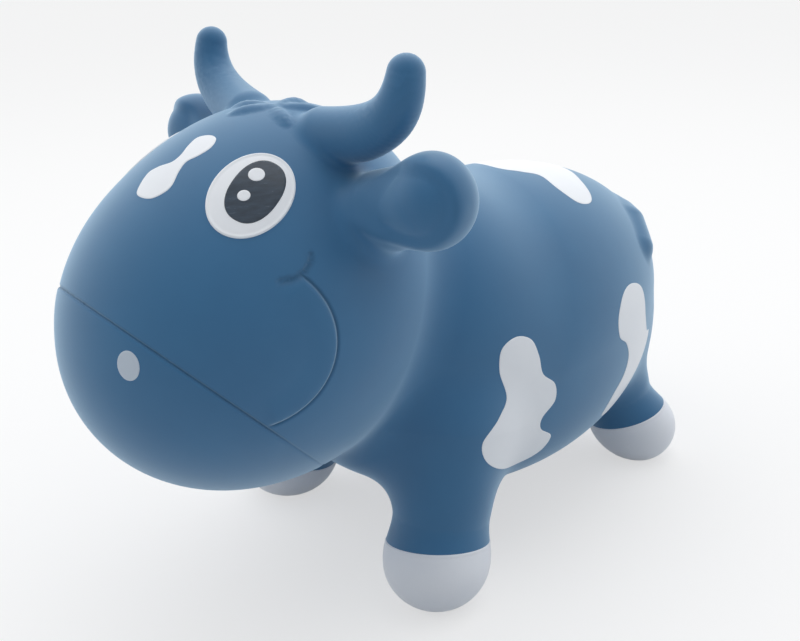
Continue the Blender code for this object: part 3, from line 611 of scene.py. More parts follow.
@dataclass(frozen=True)
class Creases:
    """The lines pressed into the head: round the muzzle, behind the cheeks, and the smile ticks.

    Depths, widths and swells are in metres, but those of the smile are shares of the cheek's.
    """

    muzzle_at: Pair = (-0.1325, 0.1323)
    muzzle_slope: float = -48.9
    muzzle_depth: float = 0.0010
    muzzle_width: float = 0.0007
    muzzle_swell: float = 0.0006
    muzzle_roll: tuple[Pair, Pair] = ((0.0, 0.003), (0.006, 0.030))
    muzzle_fade: Pair = (-0.192, -0.178)
    muzzle_rest: float = 0.35
    cheek_at: Pair = (-0.2005, 0.2575)
    cheek_radius: float = 0.054
    cheek_from: float = -77.5
    cheek_to: float = 40.0
    cheek_depth: float = 0.0008
    cheek_width: float = 0.0012
    cheek_swell: float = 0.0016
    cheek_roll: tuple[Pair, Pair] = ((-0.0006, 0.0032), (0.004, 0.022))
    side_fade: Pair = (0.020, 0.040)
    end_fade: float = 0.004
    join_fade: Pair = (-0.002, 0.004)
    smile_depth: float = 1.6
    smile_width: float = 1.5
    # How much painted shade the smile ticks take, as a share of a full crease.
    smile_tone: float = 0.45
    smile_length: float = 0.027
    smile_shares: tuple[Pair, ...] = ((-0.55, 0.02), (-0.28, 0.01), (0.05, 0.11), (0.26, 0.28), (0.32, 0.40))

    @property
    def cheek_middle(self) -> float:
        """Angle of the cheek arc's middle, in radians."""
        return math.radians((self.cheek_from + self.cheek_to) / 2)

    def muzzle_offset(self, points: Array) -> Array:
        """Signed distance to the muzzle's plane.

        Args:
            points: Points to measure, one a row.

        Returns:
            One distance for each point, negative on the muzzle.
        """
        slope = math.radians(self.muzzle_slope)
        y, z = self.muzzle_at
        return (points[:, 2] - z) * math.cos(slope) - (points[:, 1] - y) * math.sin(slope)

    def to_polar(self, points: Array) -> Array:
        """Straightens the cheek arc.

        Args:
            points: Points in metres.

        Returns:
            Their offset from the arc, their length along it and their unchanged x.
        """
        y, z = points[:, 1] - self.cheek_at[0], points[:, 2] - self.cheek_at[1]
        angle = (np.arctan2(z, y) - self.cheek_middle + math.pi) % (2 * math.pi) - math.pi
        return np.stack([np.hypot(y, z) - self.cheek_radius, angle * self.cheek_radius, points[:, 0]], axis=1)

    def from_polar(self, polar: Array) -> Array:
        """Bends points back that to_polar straightened.

        Args:
            polar: Straightened points.

        Returns:
            The points in metres.
        """
        angle, radius = polar[:, 1] / self.cheek_radius + self.cheek_middle, polar[:, 0] + self.cheek_radius
        y, z = self.cheek_at[0] + radius * np.cos(angle), self.cheek_at[1] + radius * np.sin(angle)
        return np.stack([polar[:, 2], y, z], axis=1)

    def muzzle_plane(self) -> tuple[Array, Array]:
        """A point of the muzzle's plane and its normal."""
        slope = math.radians(self.muzzle_slope)
        return np.array([0.0, *self.muzzle_at]), np.array([0.0, -math.sin(slope), math.cos(slope)])

    def cheek_offset(self, points: Array) -> tuple[Array, Array]:
        """Where points lie by the cheek arc.

        Args:
            points: Points to measure, one a row.

        Returns:
            Signed distance to the arc, negative on the cheek, and how far beyond its nearer end.
        """
        polar = self.to_polar(points)
        half = math.radians((self.cheek_to - self.cheek_from) / 2) * self.cheek_radius
        return polar[:, 0], np.maximum(np.abs(polar[:, 1]) - half, 0)

    def smile_offset(self, points: Array) -> Array:
        """Distance to the smile tick in side view.

        Args:
            points: Points to measure, one a row.

        Returns:
            One distance for each point.
        """
        end = math.radians(self.cheek_to)
        start = np.array(self.cheek_at) + self.cheek_radius * np.array([math.cos(end), math.sin(end)])
        path = start + self.smile_length * np.array(self.smile_shares)
        flat = points[:, 1:]
        nearest = np.full(len(points), np.inf)
        for first, second in zip(path, path[1:]):
            run = second - first
            share = np.clip((flat - first) @ run / (run @ run), 0, 1)
            nearest = np.minimum(nearest, np.linalg.norm(flat - first - share[:, None] * run, axis=1))
        return nearest

    def pressed(self, points: Array) -> tuple[Array, Array]:
        """How deep the creases press into the head.

        Args:
            points: Points near the head's surface.

        Returns:
            The depth at each point, and how much of a crease is there, from 0 to 1.
        """
        muzzle = self.muzzle_offset(points)
        cheek, beyond = self.cheek_offset(points)
        smile = self.smile_offset(points)
        sideways = ramp(np.abs(points[:, 0]), *self.side_fade)
        on_cheek = sideways * bump(beyond, self.end_fade) * ramp(muzzle, *self.join_fade)
        line = on_cheek * bump(cheek, self.cheek_width)
        tick = self.smile_depth * sideways * bump(smile, self.smile_width * self.cheek_width)
        ahead = 1 - (1 - self.muzzle_rest) * ramp(points[:, 1], *self.muzzle_fade)
        ring = ahead * bump(muzzle, self.muzzle_width)
        depth = self.muzzle_depth * ring
        depth -= ahead * self.muzzle_swell * swell(-muzzle, *self.muzzle_roll)
        depth += self.cheek_depth * np.maximum(line, tick)
        depth -= self.cheek_swell * on_cheek * swell(-cheek, *self.cheek_roll)
        # The share is what darkens the skin's colour along the grooves, as painted shade.
        return depth, np.maximum(ring, np.maximum(line, self.smile_tone * tick))


@dataclass
class SkinForm:
    """The whole skin as one form, with a name for the section that each point belongs to."""

    trunk: Form
    head: Form
    head_fillet: float
    members: list[tuple[str, Form, float]]
    creases: Creases
    crease_fade: Pair = (0.002, 0.010)
    paint_height: float = 0.00040
    paint_edge: float = 0.0005
    level_share: float = 0.7
    lip_share: float = 0.6
    lip_at: float = 0.0010
    lip_width: float = 0.0008
    leg_overlap: float = 0.004
    ground_round: float = 0.0020
    ground_zone: float = 0.02
    effect: float = 0.006
    flattest: float = 0.3

    def box(self, margin: float) -> tuple[Array, Array]:
        """Lowest and highest corner of the form's room."""
        return self.trunk.box(margin)

    def near(self, form: Form, reach: float, points: Array) -> Array:
        """Which points a form may reach."""
        low, high = form.box(reach + self.effect)
        return np.flatnonzero(np.all((points > low) & (points < high), axis=1))

    def smooth(self, points: Array) -> Array:
        """Distances without creases and paint.

        Args:
            points: Points to measure, one a row.

        Returns:
            One distance for each point.
        """
        total = blend(self.trunk.distance(points), self.head.distance(points), self.head_fillet)
        for _, form, reach in self.members:
            close = self.near(form, reach, points)
            total[close] = blend(total[close], form.distance(points[close]), reach)
        low = points[:, 2] < self.ground_zone
        total[low] = -blend(-total[low], points[low, 2], self.ground_round)
        return total

    def distance(self, points: Array) -> Array:
        """Distances with creases and the raised hoof paint.

        Args:
            points: Points to measure, one a row.

        Returns:
            One distance for each point.
        """
        total = self.smooth(points)
        trunk, head = self.trunk.distance(points), self.head.distance(points)
        on_head = np.flatnonzero((head < trunk) & (np.abs(total) < self.effect))
        if len(on_head):
            depth, _ = self.creases.pressed(points[on_head])
            total[on_head] += depth * ramp((trunk - head)[on_head], *self.crease_fade)
        return total - self.painted(points)

    def painted(self, points: Array) -> Array:
        """Height of the hoof paint above the skin, with the lip left by its masking edge.

        Args:
            points: Points to measure, one a row.

        Returns:
            One height for each point.
        """
        height = np.zeros(len(points))
        for leg, side in LEG_SIDES:
            close = self.near(on_side(leg.form(), side), 0.0, points)
            at, axis = leg.paint_plane(side)
            below = -(points[close] - at) @ axis
            lip = self.lip_share * bump(below - self.lip_at, self.lip_width)
            film = self.paint_height * ramp(below, 0.0, self.paint_edge) * (self.level_share + lip)
            height[close] = np.maximum(height[close], film)
        return height

    def crease_share(self, points: Array) -> Array:
        """How much of a crease is at each point.

        Args:
            points: Points to measure, one a row.

        Returns:
            A share from 0 to 1 for each point.
        """
        trunk, head = self.trunk.distance(points), self.head.distance(points)
        _, share = self.creases.pressed(points)
        return share * ramp(trunk - head, *self.crease_fade)

    def normals(self, points: Array, whole: bool = True, step: float = 0.00008) -> tuple[Array, Array]:
        """Distances and normals of the field.

        Args:
            points: Points to measure, one a row.
            whole: Whether creases and paint count.
            step: Step over which the slope is taken.

        Returns:
            Distances corrected for the slope, and outward unit normals.
        """
        measure = self.distance if whole else self.smooth
        here = measure(points)
        slopes = np.stack([(measure(points + step * way) - here) / step for way in np.eye(3)], axis=1)
        length = np.linalg.norm(slopes, axis=1)
        return here / np.maximum(length, self.flattest), slopes / np.maximum(length, 1e-9)[:, None]

    def sections(self, points: Array) -> Array:
        """The section that each point belongs to.

        Args:
            points: Points to measure, one a row.

        Returns:
            The sections' names.
        """
        names = np.where(
            self.head.distance(points) < self.trunk.distance(points), "head_shell", "torso_shell"
        ).astype(object)
        best = np.minimum(self.trunk.distance(points), self.head.distance(points))
        for name, form, reach in self.members:
            close = self.near(form, reach, points)
            own = form.distance(points[close])
            if name.endswith("_leg"):
                own = own - self.leg_overlap
            wins = own < best[close]
            best[close[wins]] = own[wins]
            names[close[wins]] = name
        for leg, side in LEG_SIDES:
            at, axis = leg.paint_plane(side)
            below = (points - at) @ axis < 0
            names[below & (names == f"{leg.name(side)}_leg")] = f"{leg.name(side)}_hoof"
        return names


def skin_form() -> SkinForm:
    """Joins the sections to the cow's skin.

    Returns:
        The skin, with its members in order.
    """
    head = Head()
    members: list[tuple[str, Form, float]] = [
        (f"{leg.name(side)}_leg", on_side(leg.form(), side), leg.fillet) for leg, side in LEG_SIDES
    ]
    for side in Side:
        members.append((f"{side.word}_horn", on_side(Horn().form(), side), Horn.fillet))
        members.append((f"{side.word}_ear", on_side(Ear().form(), side), Ear.fillet))
    members.append(("tail", Tail().form(), Tail.fillet))
    for form in Forelock().forms(head.form()):
        members.append(("forelock", form, Forelock.fillet))
    return SkinForm(Trunk().form(), head.form(), head.neck_fillet, members, Creases())


# ---- Meshing ----


CORNERS = tuple((i, j, k) for i in (0, 1) for j in (0, 1) for k in (0, 1))
SLAB = 12


def grid_values(form: SkinForm, low: Array, counts: Array, cell: float) -> Array:
    """The smooth field on a grid, computed slab by slab to save memory.

    Args:
        form: The skin's form.
        low: The grid's lowest corner.
        counts: Its points along each axis.
        cell: Its spacing.

    Returns:
        A distance at each point of the grid.
    """
    value = np.empty(counts, np.float32)
    steps = [low[i] + cell * np.arange(counts[i]) for i in range(3)]
    for start in range(0, counts[0], SLAB):
        part = np.stack(np.meshgrid(steps[0][start:start + SLAB], steps[1], steps[2], indexing="ij"), axis=-1)
        value[start:start + SLAB] = form.smooth(part.reshape(-1, 3)).reshape(part.shape[:3])
    return value


def cell_net(form: SkinForm, low: Array, high: Array, cell: float) -> tuple[Array, Array]:
    """A net of four-sided faces where the field crosses a grid of cells.

    Args:
        form: The skin's form.
        low: Lowest corner of the room.
        high: Highest corner of the room.
        cell: Edge of a cell.

    Returns:
        The net's points, one in each crossed cell, and its faces.
    """
    counts = np.ceil((high - low) / cell).astype(int) + 1
    value = grid_values(form, low, counts, cell)
    inside = value < 0
    span = counts - 1

    def corner(array: Array, c: tuple[int, int, int]) -> Array:
        """The array's values at one corner of every cell."""
        return array[c[0]:c[0] + span[0], c[1]:c[1] + span[1], c[2]:c[2] + span[2]]

    full = sum(corner(inside, c).astype(np.int8) for c in CORNERS)
    crossed = (full > 0) & (full < 8)
    cells = np.argwhere(crossed)
    index = np.full(tuple(span), -1)
    index[crossed] = np.arange(len(cells))
    total, hits = np.zeros((len(cells), 3)), np.zeros(len(cells))
    for c in CORNERS:
        first = value[tuple((cells + c).T)]
        for axis in range(3):
            if c[axis]:
                continue
            step = np.eye(3, dtype=int)[axis]
            second = value[tuple((cells + c + step).T)]
            hit = (first < 0) != (second < 0)
            share = np.where(hit, first / np.where(hit, first - second, 1), 0)
            total += hit[:, None] * (np.array(c) + share[:, None] * step)
            hits += hit
    points = low + cell * (cells + total / hits[:, None])
    faces = []
    for axis in range(3):
        one, two = np.eye(3, dtype=int)[(axis + 1) % 3], np.eye(3, dtype=int)[(axis + 2) % 3]
        step = np.eye(3, dtype=int)[axis]
        ends = [slice(1, -1)] * 3
        ends[axis] = slice(0, -1)
        shifted = list(ends)
        shifted[axis] = slice(1, None)
        here, there = inside[tuple(ends)], inside[tuple(shifted)]
        offset = np.array([1, 1, 1]) - step
        for outward, changes in ((True, here & ~there), (False, there & ~here)):
            at = np.argwhere(changes) + offset
            ring = [index[tuple((at - shift).T)] for shift in (one + two, two, 0 * one, one)]
            faces.append(np.stack(ring if outward else ring[::-1], axis=1))
    return points, np.concatenate(faces)


def relaxed(points: Array, faces: Array, form: SkinForm, rounds: int, pull: float = 0.6) -> Array:
    """The net's points, evened out and laid back on the smooth field.

    Args:
        points: The net's points.
        faces: The net's four-sided faces.
        form: The skin's form.
        rounds: Number of rounds.
        pull: How far a point moves to the mean of its neighbours in a round.

    Returns:
        The new points.
    """
    edges = np.concatenate([faces[:, [i, (i + 1) % 4]] for i in range(4)])
    count = np.bincount(edges.ravel(), minlength=len(points))
    for _ in range(rounds):
        mean = np.stack([
            np.bincount(edges[:, 0], points[edges[:, 1], i], len(points))
            + np.bincount(edges[:, 1], points[edges[:, 0], i], len(points))
            for i in range(3)
        ], axis=1) / count[:, None]
        points = points + pull * (mean - points)
        distance, normal = form.normals(points, whole=False)
        points = points - distance[:, None] * normal
    return points


def link_mesh(name: str, points: Array, faces: list | Array, normals: Array | None = None) -> bpy.types.Object:
    """A smooth-shaded object in the scene.

    Args:
        name: The piece's name.
        points: Its points.
        faces: Its faces, as indices of points.
        normals: Shading normals, one for each point, or None.

    Returns:
        The new object.
    """
    mesh = bpy.data.meshes.new(name)
    mesh.from_pydata(points.tolist(), [], [list(map(int, face)) for face in faces])
    mesh.validate(clean_customdata=False)
    mesh.shade_smooth()
    if normals is not None:
        mesh.normals_split_custom_set_from_vertices(normals.tolist())
    made = bpy.data.objects.new(name, mesh)
    bpy.context.scene.collection.objects.link(made)
    return made


@dataclass
class MouldedSkin:
    """The one-piece skin, cut into its sections."""

    form: SkinForm
    cell: float = 0.0026
    quick_cell: float = 0.0045
    smile_room: float = 0.0050
    lock_room: float = 0.0040
    detail_cuts: int = 2
    even_share: float = 1.5
    paint_loops: tuple[float, ...] = (0.0, 0.0005, 0.0010, 0.0018)
    crease_loops: tuple[float, ...] = (
        -0.0042, -0.0030, -0.0021, -0.0014, -0.0009, -0.00045, 0.0, 0.00045, 0.0009, 0.0014, 0.0021, 0.0030,
    )
    crease_room: float = 0.008
    neck_room: float = 0.004
    leg_room: float = 0.06
    leg_height: float = 0.075
    valve_at: Pair = (0.0, 0.0895)
    valve_room: float = 0.0085
    belly_height: float = 0.07
    margin: float = 0.006

    def surface(self) -> tuple[Array, list[list[int]]]:
        """Meshes the skin, with finer cells at the creases and loops at the paint lines.

        Returns:
            The points, and the outline of each face as indices of them.
        """
        low, high = (np.array(corner) for corner in CAD_BOX)
        cell = self.cell
        points, faces = cell_net(self.form, low - self.margin, high + self.margin, cell)
        points = relaxed(points, faces, self.form, rounds=5)
        bm = bmesh.new()
        made = [bm.verts.new(point) for point in points]
        for face in faces:
            bm.faces.new([made[i] for i in face])
        self.refine_details(bm)
        self.even_out(bm)
        self.cut_creases(bm)
        self.cut_paint_lines(bm)
        bm.verts.index_update()
        points = np.array([vertex.co for vertex in bm.verts])
        outlines = [[vertex.index for vertex in face.verts] for face in bm.faces]
        bm.free()
        for _ in range(3):
            distance, normal = self.form.normals(points)
            points = points - distance[:, None] * normal
        return np.clip(points, *np.array(CAD_BOX)), outlines

    def fine(self, points: Array, share: float = 1.0) -> Array:
        """Which points lie on the forelock or along the smile ticks.

        Args:
            points: Points of the surface.
            share: Share of the usual room round them.

        Returns:
            True for each point that does.
        """
        smile = self.form.creases.smile_offset(points)
        close = (smile < share * self.smile_room) & (np.abs(points[:, 0]) > self.form.creases.side_fade[0])
        close &= self.form.head.distance(points) < self.form.trunk.distance(points)
        for name, form, _ in self.form.members:
            if name == "forelock":
                close |= form.distance(points) < share * self.lock_room
        return close

    def refine_details(self, bm: bmesh.types.BMesh) -> None:
        """Makes the cells on the forelock and along the smile ticks finer.

        Args:
            bm: The mesh to work on.
        """
        close = self.fine(np.array([vertex.co for vertex in bm.verts]))
        bm.verts.ensure_lookup_table()
        edges = [edge for edge in bm.edges if close[edge.verts[0].index] and close[edge.verts[1].index]]
        bmesh.ops.subdivide_edges(bm, edges=edges, cuts=self.detail_cuts, use_grid_fill=True)

    def even_out(self, bm: bmesh.types.BMesh, rounds: int = 3) -> None:
        """Evens out the finer cells and lays them back on the surface.

        Args:
            bm: The mesh to work on.
            rounds: Number of rounds.
        """
        close = self.fine(np.array([vertex.co for vertex in bm.verts]), self.even_share)
        chosen = [vertex for vertex, kept in zip(bm.verts, close) if kept]
        for _ in range(rounds):
            bmesh.ops.smooth_vert(
                bm, verts=chosen, factor=0.5, use_axis_x=True, use_axis_y=True, use_axis_z=True)
            moved = np.array([vertex.co for vertex in chosen])
            for _ in range(2):
                distance, normal = self.form.normals(moved, whole=False)
                moved = moved - distance[:, None] * normal
            for vertex, co in zip(chosen, moved):
                vertex.co = co

    def cut_creases(self, bm: bmesh.types.BMesh) -> None:
        """Runs loops along both sides of the muzzle line and of the cheek arcs.

        Args:
            bm: The mesh to work on.
        """
        creases = self.form.creases
        at, normal = creases.muzzle_plane()
        for offset in self.crease_loops:
            faces = self.head_faces(bm, lambda points: np.abs(creases.muzzle_offset(points)))
            self.slice(bm, faces, at + normal * offset, normal)
        flat = creases.to_polar(np.array([vertex.co for vertex in bm.verts]))
        for vertex, co in zip(bm.verts, flat):
            vertex.co = co

        def arc(points: Array) -> Array:
            """Distance to the cheek arc of straightened points, and soon far beyond its ends."""
            offset, beyond = creases.cheek_offset(creases.from_polar(points))
            return np.abs(offset) + 10 * np.maximum(beyond - self.crease_room, 0)

        for offset in self.crease_loops:
            faces = self.head_faces(bm, arc, creases.from_polar)
            self.slice(bm, faces, np.array([offset, 0.0, 0.0]), np.array([1.0, 0.0, 0.0]))
        round_again = creases.from_polar(np.array([vertex.co for vertex in bm.verts]))
        for vertex, co in zip(bm.verts, round_again):
            vertex.co = co

    def head_faces(self, bm: bmesh.types.BMesh, measure: Callable[[Array], Array],
                   place: Callable[[Array], Array] = lambda points: points) -> list[bmesh.types.BMFace]:
        """The faces of the head near a crease.

        Args:
            bm: The mesh.
            measure: Gives the distance to the crease.
            place: Turns the mesh's coordinates to metres.

        Returns:
            The faces with every point near it.
        """
        stored = np.array([vertex.co for vertex in bm.verts])
        points = place(stored)
        close = (measure(stored) < self.crease_room) & (
            self.form.head.distance(points) < self.form.trunk.distance(points) + self.neck_room)
        bm.verts.index_update()
        return [face for face in bm.faces if all(close[vertex.index] for vertex in face.verts)]

    def slice(self, bm: bmesh.types.BMesh, faces: list[bmesh.types.BMFace], at: Array, normal: Array) -> None:
        """Cuts some faces with a plane.

        Args:
            bm: The mesh to work on.
            faces: The faces.
            at: A point of the plane.
            normal: The plane's normal.
        """
        edges = dict.fromkeys(edge for face in faces for edge in face.edges)
        verts = dict.fromkeys(vertex for face in faces for vertex in face.verts)
        bmesh.ops.bisect_plane(
            bm, geom=[*verts, *edges, *faces], dist=2e-5, plane_co=Vector(at), plane_no=Vector(normal))

    def cut_paint_lines(self, bm: bmesh.types.BMesh) -> None:
        """Runs loops round each leg at the edge of its hoof paint.

        Args:
            bm: The mesh to work on.
        """
        for leg, side in LEG_SIDES:
            at, axis = leg.paint_plane(side)
            for below in self.paint_loops:
                self.cut_loop(bm, at - axis * below, axis, leg.ends(side)[0])

    def cut_loop(self, bm: bmesh.types.BMesh, at: Array, axis: Array, foot: Array) -> None:
        """Cuts the faces near one leg with a plane.

        Args:
            bm: The mesh to work on.
            at: A point of the plane.
            axis: The plane's normal.
            foot: The foot of the leg's axis.
        """
        faces = []
        for face in bm.faces:
            centre = face.calc_center_median()
            aside = max(abs(centre.x - foot[0]), abs(centre.y - foot[1]))
            if centre.z < self.leg_height and aside < self.leg_room:
                faces.append(face)
        self.slice(bm, faces, at, axis)

    def build(self, skin: "Finish", hoof: "Finish") -> None:
        """Makes one piece for each section and lets each but the legs ride on its body.

        Args:
            skin: Finish of the bare skin.
            hoof: Finish of the hooves.
        """
        points, outlines = self.surface()
        _, normals = self.form.normals(points)
        # The crease share goes onto each section as its crease attribute, which darkens the skin's colour:
        # painted shade along the grooves.
        crease = self.form.crease_share(points)
        centres = np.array([points[outline].mean(axis=0) for outline in outlines])
        names = self.form.sections(centres)
        across = np.hypot(centres[:, 0] - self.valve_at[0], centres[:, 1] - self.valve_at[1])
        names[(across < self.valve_room) & (centres[:, 2] < self.belly_height)] = ""
        for name in sorted(set(names) - {""}):
            chosen = np.flatnonzero(names == name)
            used = sorted({i for face in chosen for i in outlines[face]})
            order = {old: new for new, old in enumerate(used)}
            faces = [[order[i] for i in outlines[face]] for face in chosen]
            piece = link_mesh(f"{name}_skin", points[used], faces, normals[used])
            attribute = piece.data.attributes.new("crease", "FLOAT", "POINT")
            attribute.data.foreach_set("value", crease[used].astype(np.float32))
            finish, slot = (hoof, Slot.HOOF) if name.endswith("_hoof") else (skin, Slot.SKIN)
            finish.dress(piece)
            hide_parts(name)
            self.attach(piece, name)
            LOG.info("%s: %d faces", piece.name, len(faces))

    def attach(self, piece: bpy.types.Object, name: str) -> None:
        """Lets a section ride on its body; a leg's section only has its transform baked, and is left without a
        body.

        Args:
            piece: The section.
            name: Its name.
        """
        for leg, side in LEG_SIDES:
            hoof_body = f"{leg.name(side)}_hoof_unit"
            if name == f"{leg.name(side)}_hoof":
                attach(piece, hoof_body)
                return
            if name == f"{leg.name(side)}_leg":
                at, axis = leg.paint_plane(side)
                start, end = (tuple(at + axis * height) for height in leg.squash_band)
                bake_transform(piece)
                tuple(start)
                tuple(end)
                return
        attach(piece, "skin")


# ---- Films of paint and plates, draped over the skin ----


def smooth_loop(corners: Array, steps: int = 10) -> Array:
    """A closed curve through some corners.

    Args:
        corners: The corners.
        steps: Points from one corner to the next.

    Returns:
        The points of the curve.
    """
    corners = np.array(corners, float)
    before, after = np.roll(corners, 1, axis=0), np.roll(corners, -1, axis=0)
    beyond = np.roll(corners, -2, axis=0)
    loop = []
    for a, b, c, d in zip(before, corners, after, beyond):
        for t in np.arange(steps) / steps:
            loop.append(
                0.5 * (2 * b + (c - a) * t + (2 * a - 5 * b + 4 * c - d) * t**2
                       + (3 * b - a - 3 * c + d) * t**3)
            )
    return np.array(loop)


def oval(half_width: float, half_height: float, centre: Pair = (0.0, 0.0), tilt: float = 0.0,
         squareness: float = 2.0, count: int = 120) -> Array:
    """A closed oval.

    Args:
        half_width: Half its width.
        half_height: Half its height.
        centre: Its middle.
        tilt: Degrees it is turned.
        squareness: 2 for an ellipse, more for fuller corners.
        count: Number of points.

    Returns:
        The points, counterclockwise.
    """
    angles = np.arange(count) * 2 * math.pi / count
    cosine, sine = np.cos(angles), np.sin(angles)
    power = 2 / squareness
    flat = np.stack([
        half_width * np.sign(cosine) * np.abs(cosine) ** power,
        half_height * np.sign(sine) * np.abs(sine) ** power,
    ], axis=1)
    return flat @ turn(yaw=tilt)[:2, :2].T + np.array(centre)


def loop_normals(loop: Array) -> Array:
    """Outward unit normals of a closed loop.

    Args:
        loop: The points of the loop.

    Returns:
        One normal for each point.
    """
    tangent = np.roll(loop, -1, axis=0) - np.roll(loop, 1, axis=0)
    normal = np.stack([tangent[:, 1], -tangent[:, 0]], axis=1)
    x, y = loop[:, 0], loop[:, 1]
    turns = np.sign((x * np.roll(y, -1) - np.roll(x, -1) * y).sum())
    return normal / np.linalg.norm(normal, axis=1)[:, None] * turns


def within(points: Array, loop: Array) -> Array:
    """Which flat points lie inside a closed loop.

    Args:
        points: The points.
        loop: The points of the loop.

    Returns:
        True for each point inside.
    """
    inside = np.zeros(len(points), bool)
    for (x0, y0), (x1, y1) in zip(loop, np.roll(loop, -1, axis=0)):
        if y0 == y1:
            continue
        spans = (y0 > points[:, 1]) != (y1 > points[:, 1])
        inside ^= spans & (points[:, 0] < (x1 - x0) * (points[:, 1] - y0) / (y1 - y0) + x0)
    return inside


@dataclass(frozen=True)
class Profile:
    """Section of a film: how high it stands at each distance in from its edge."""

    steps: tuple[Pair, ...]

    @property
    def top(self) -> float:
        """Height of the film away from its edge."""
        return self.steps[-1][1]


# A sprayed film: it rises steeply over a masked edge, overshoots a little and levels out.
SPRAYED = Profile(((0.0, -0.0004), (0.00006, 0.00014), (0.00035, 0.00030), (0.0012, 0.00026)))


@dataclass
class Film:
    """A thin plate, cut to a flat outline and draped over a form."""

    name: str
    form: Form
    origin: Triple
    facing: Pair
    side: Side
    outline: Array
    profile: Profile
    cell: float = 0.0022
    depth: float = 0.045

    def blank(self) -> tuple[Array, Array, list[list[int]]]:
        """The flat blank.

        Returns:
            Its flat points, the height of each, and its faces.
        """
        normals = loop_normals(self.outline)
        rings = [self.outline - normals * inset for inset, _ in self.profile.steps]
        count = len(self.outline)
        low, high = self.outline.min(axis=0), self.outline.max(axis=0)
        grid = np.stack(np.meshgrid(
            np.arange(low[0], high[0], self.cell), np.arange(low[1], high[1], self.cell)), axis=-1)
        grid = grid.reshape(-1, 2)
        grid = grid[within(grid, rings[-1] - normals * 0.5 * self.cell)]
        flat = np.concatenate([*rings, grid])
        heights = np.concatenate([
            *[np.full(count, height) for _, height in self.profile.steps], np.full(len(grid), self.profile.top),
        ])
        edges = [
            (start + i, start + (i + 1) % count)
            for start in range(0, count * len(rings), count) for i in range(count)
        ]
        found, _, faces, sources, _, _ = delaunay_2d_cdt([Vector(p) for p in flat], edges, [], 0, 1e-7)
        found = np.array([tuple(p) for p in found])
        level = np.array([heights[source[0]] if source else self.profile.top for source in sources])
        middles = np.array([found[list(face)].mean(axis=0) for face in faces])
        keep = within(middles, self.outline)
        return found, level, [list(face) for face, kept in zip(faces, keep) if kept]

    def build(self, finish: "Finish", slot: Slot) -> None:
        """Drapes the blank, dresses it and lets it ride on the skin.

        Args:
            finish: Its finish.
            slot: The record's material slot; not used.
        """
        flat, level, faces = self.blank()
        across, up, out = facing_axes(self.facing, self.side)
        base = np.array(self.origin) * np.array([self.side.value, 1, 1])
        start = base + flat[:, :1] * across + flat[:, 1:] * up - out * self.depth
        laid = meet(self.form, start, np.tile(out, (len(flat), 1)), level, 2 * self.depth)
        if self.side is Side.RIGHT:
            faces = [face[::-1] for face in faces]
        piece = link_mesh(f"{self.name}_film", laid, faces)
        finish.dress(piece)
        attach(piece, "skin")
        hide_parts(self.name)
        LOG.info("%s: %d faces", piece.name, len(faces))


@dataclass(frozen=True)
class Patch:
    """A sprayed patch: where it is centred, the way it faces and its outline as shares of its size."""

    name: str
    origin: Triple
    facing: Pair
    size: float
    shares: tuple[Pair, ...]
    paired: bool

    def build(self, form: Form, finish: "Finish") -> None:
        """Makes the patch, on both sides if it is paired.

        Args:
            form: The form it lies on.
            finish: Its finish.
        """
        outline = smooth_loop(np.array(self.shares) * self.size)
        for side in Side if self.paired else (Side.LEFT,):
            name = f"{side.word}_{self.name}" if self.paired else self.name
            Film(name, form, self.origin, self.facing, side, outline, SPRAYED).build(finish, Slot.WHITE)


FLANK_PATCH = Patch(
    "flank_patch", (0.129, 0.0065, 0.146), (0.0, 0.0), 0.0575,
    (
        (0.00, 1.00), (-0.24, 0.90), (-0.30, 0.62), (-0.24, 0.26), (-0.42, 0.05), (-0.70, -0.18),
        (-0.66, -0.47), (-0.36, -0.74), (0.12, -0.98), (0.50, -0.92), (0.65, -0.68), (0.44, -0.48),
        (0.44, -0.30), (0.64, -0.10), (0.62, 0.16), (0.40, 0.38), (0.34, 0.66), (0.24, 0.90),
    ),
    paired=True,
)
HAUNCH_PATCH = Patch(
    "haunch_patch", (0.129, 0.1525, 0.148), (0.0, 0.0), 0.056,
    (
        (-0.06, 0.96), (-0.36, 0.90), (-0.57, 0.62), (-0.54, 0.33), (-0.32, 0.14), (-0.21, -0.12),
        (-0.30, -0.38), (-0.56, -0.64), (-0.70, -0.94), (-0.40, -1.00), (0.10, -0.80), (0.52, -0.46),
        (0.70, -0.10), (0.56, -0.02), (0.42, 0.30), (0.28, 0.78),
    ),
    paired=True,
)
BACK_PATCH = Patch(
    "back_patch", (0.0, 0.1445, 0.2854), (-90.0, 90.0), 0.070,
    (
        (-0.30, -0.46), (0.08, -0.52), (0.30, -0.37), (0.46, -0.22), (0.74, -0.24), (0.97, -0.16),
        (1.00, 0.04), (0.88, 0.22), (0.60, 0.38), (0.24, 0.55), (-0.20, 0.56), (-0.62, 0.40),
        (-0.80, 0.08), (-0.64, -0.26),
    ),
    paired=False,
)
BLAZE_PATCH = Patch(
    "blaze_patch", (0.009, -0.1945, 0.3645), (-90.0, 67.0), 0.032,
    (
        (0.30, 0.88), (0.08, 0.88), (-0.11, 0.70), (-0.07, 0.44), (0.02, 0.19), (0.00, -0.04),
        (-0.22, -0.26), (-0.32, -0.49), (-0.15, -0.88), (0.06, -0.96), (0.34, -0.88), (0.49, -0.66),
        (0.51, -0.44), (0.37, -0.13), (0.31, 0.11), (0.40, 0.36), (0.43, 0.65),
    ),
    paired=False,
)


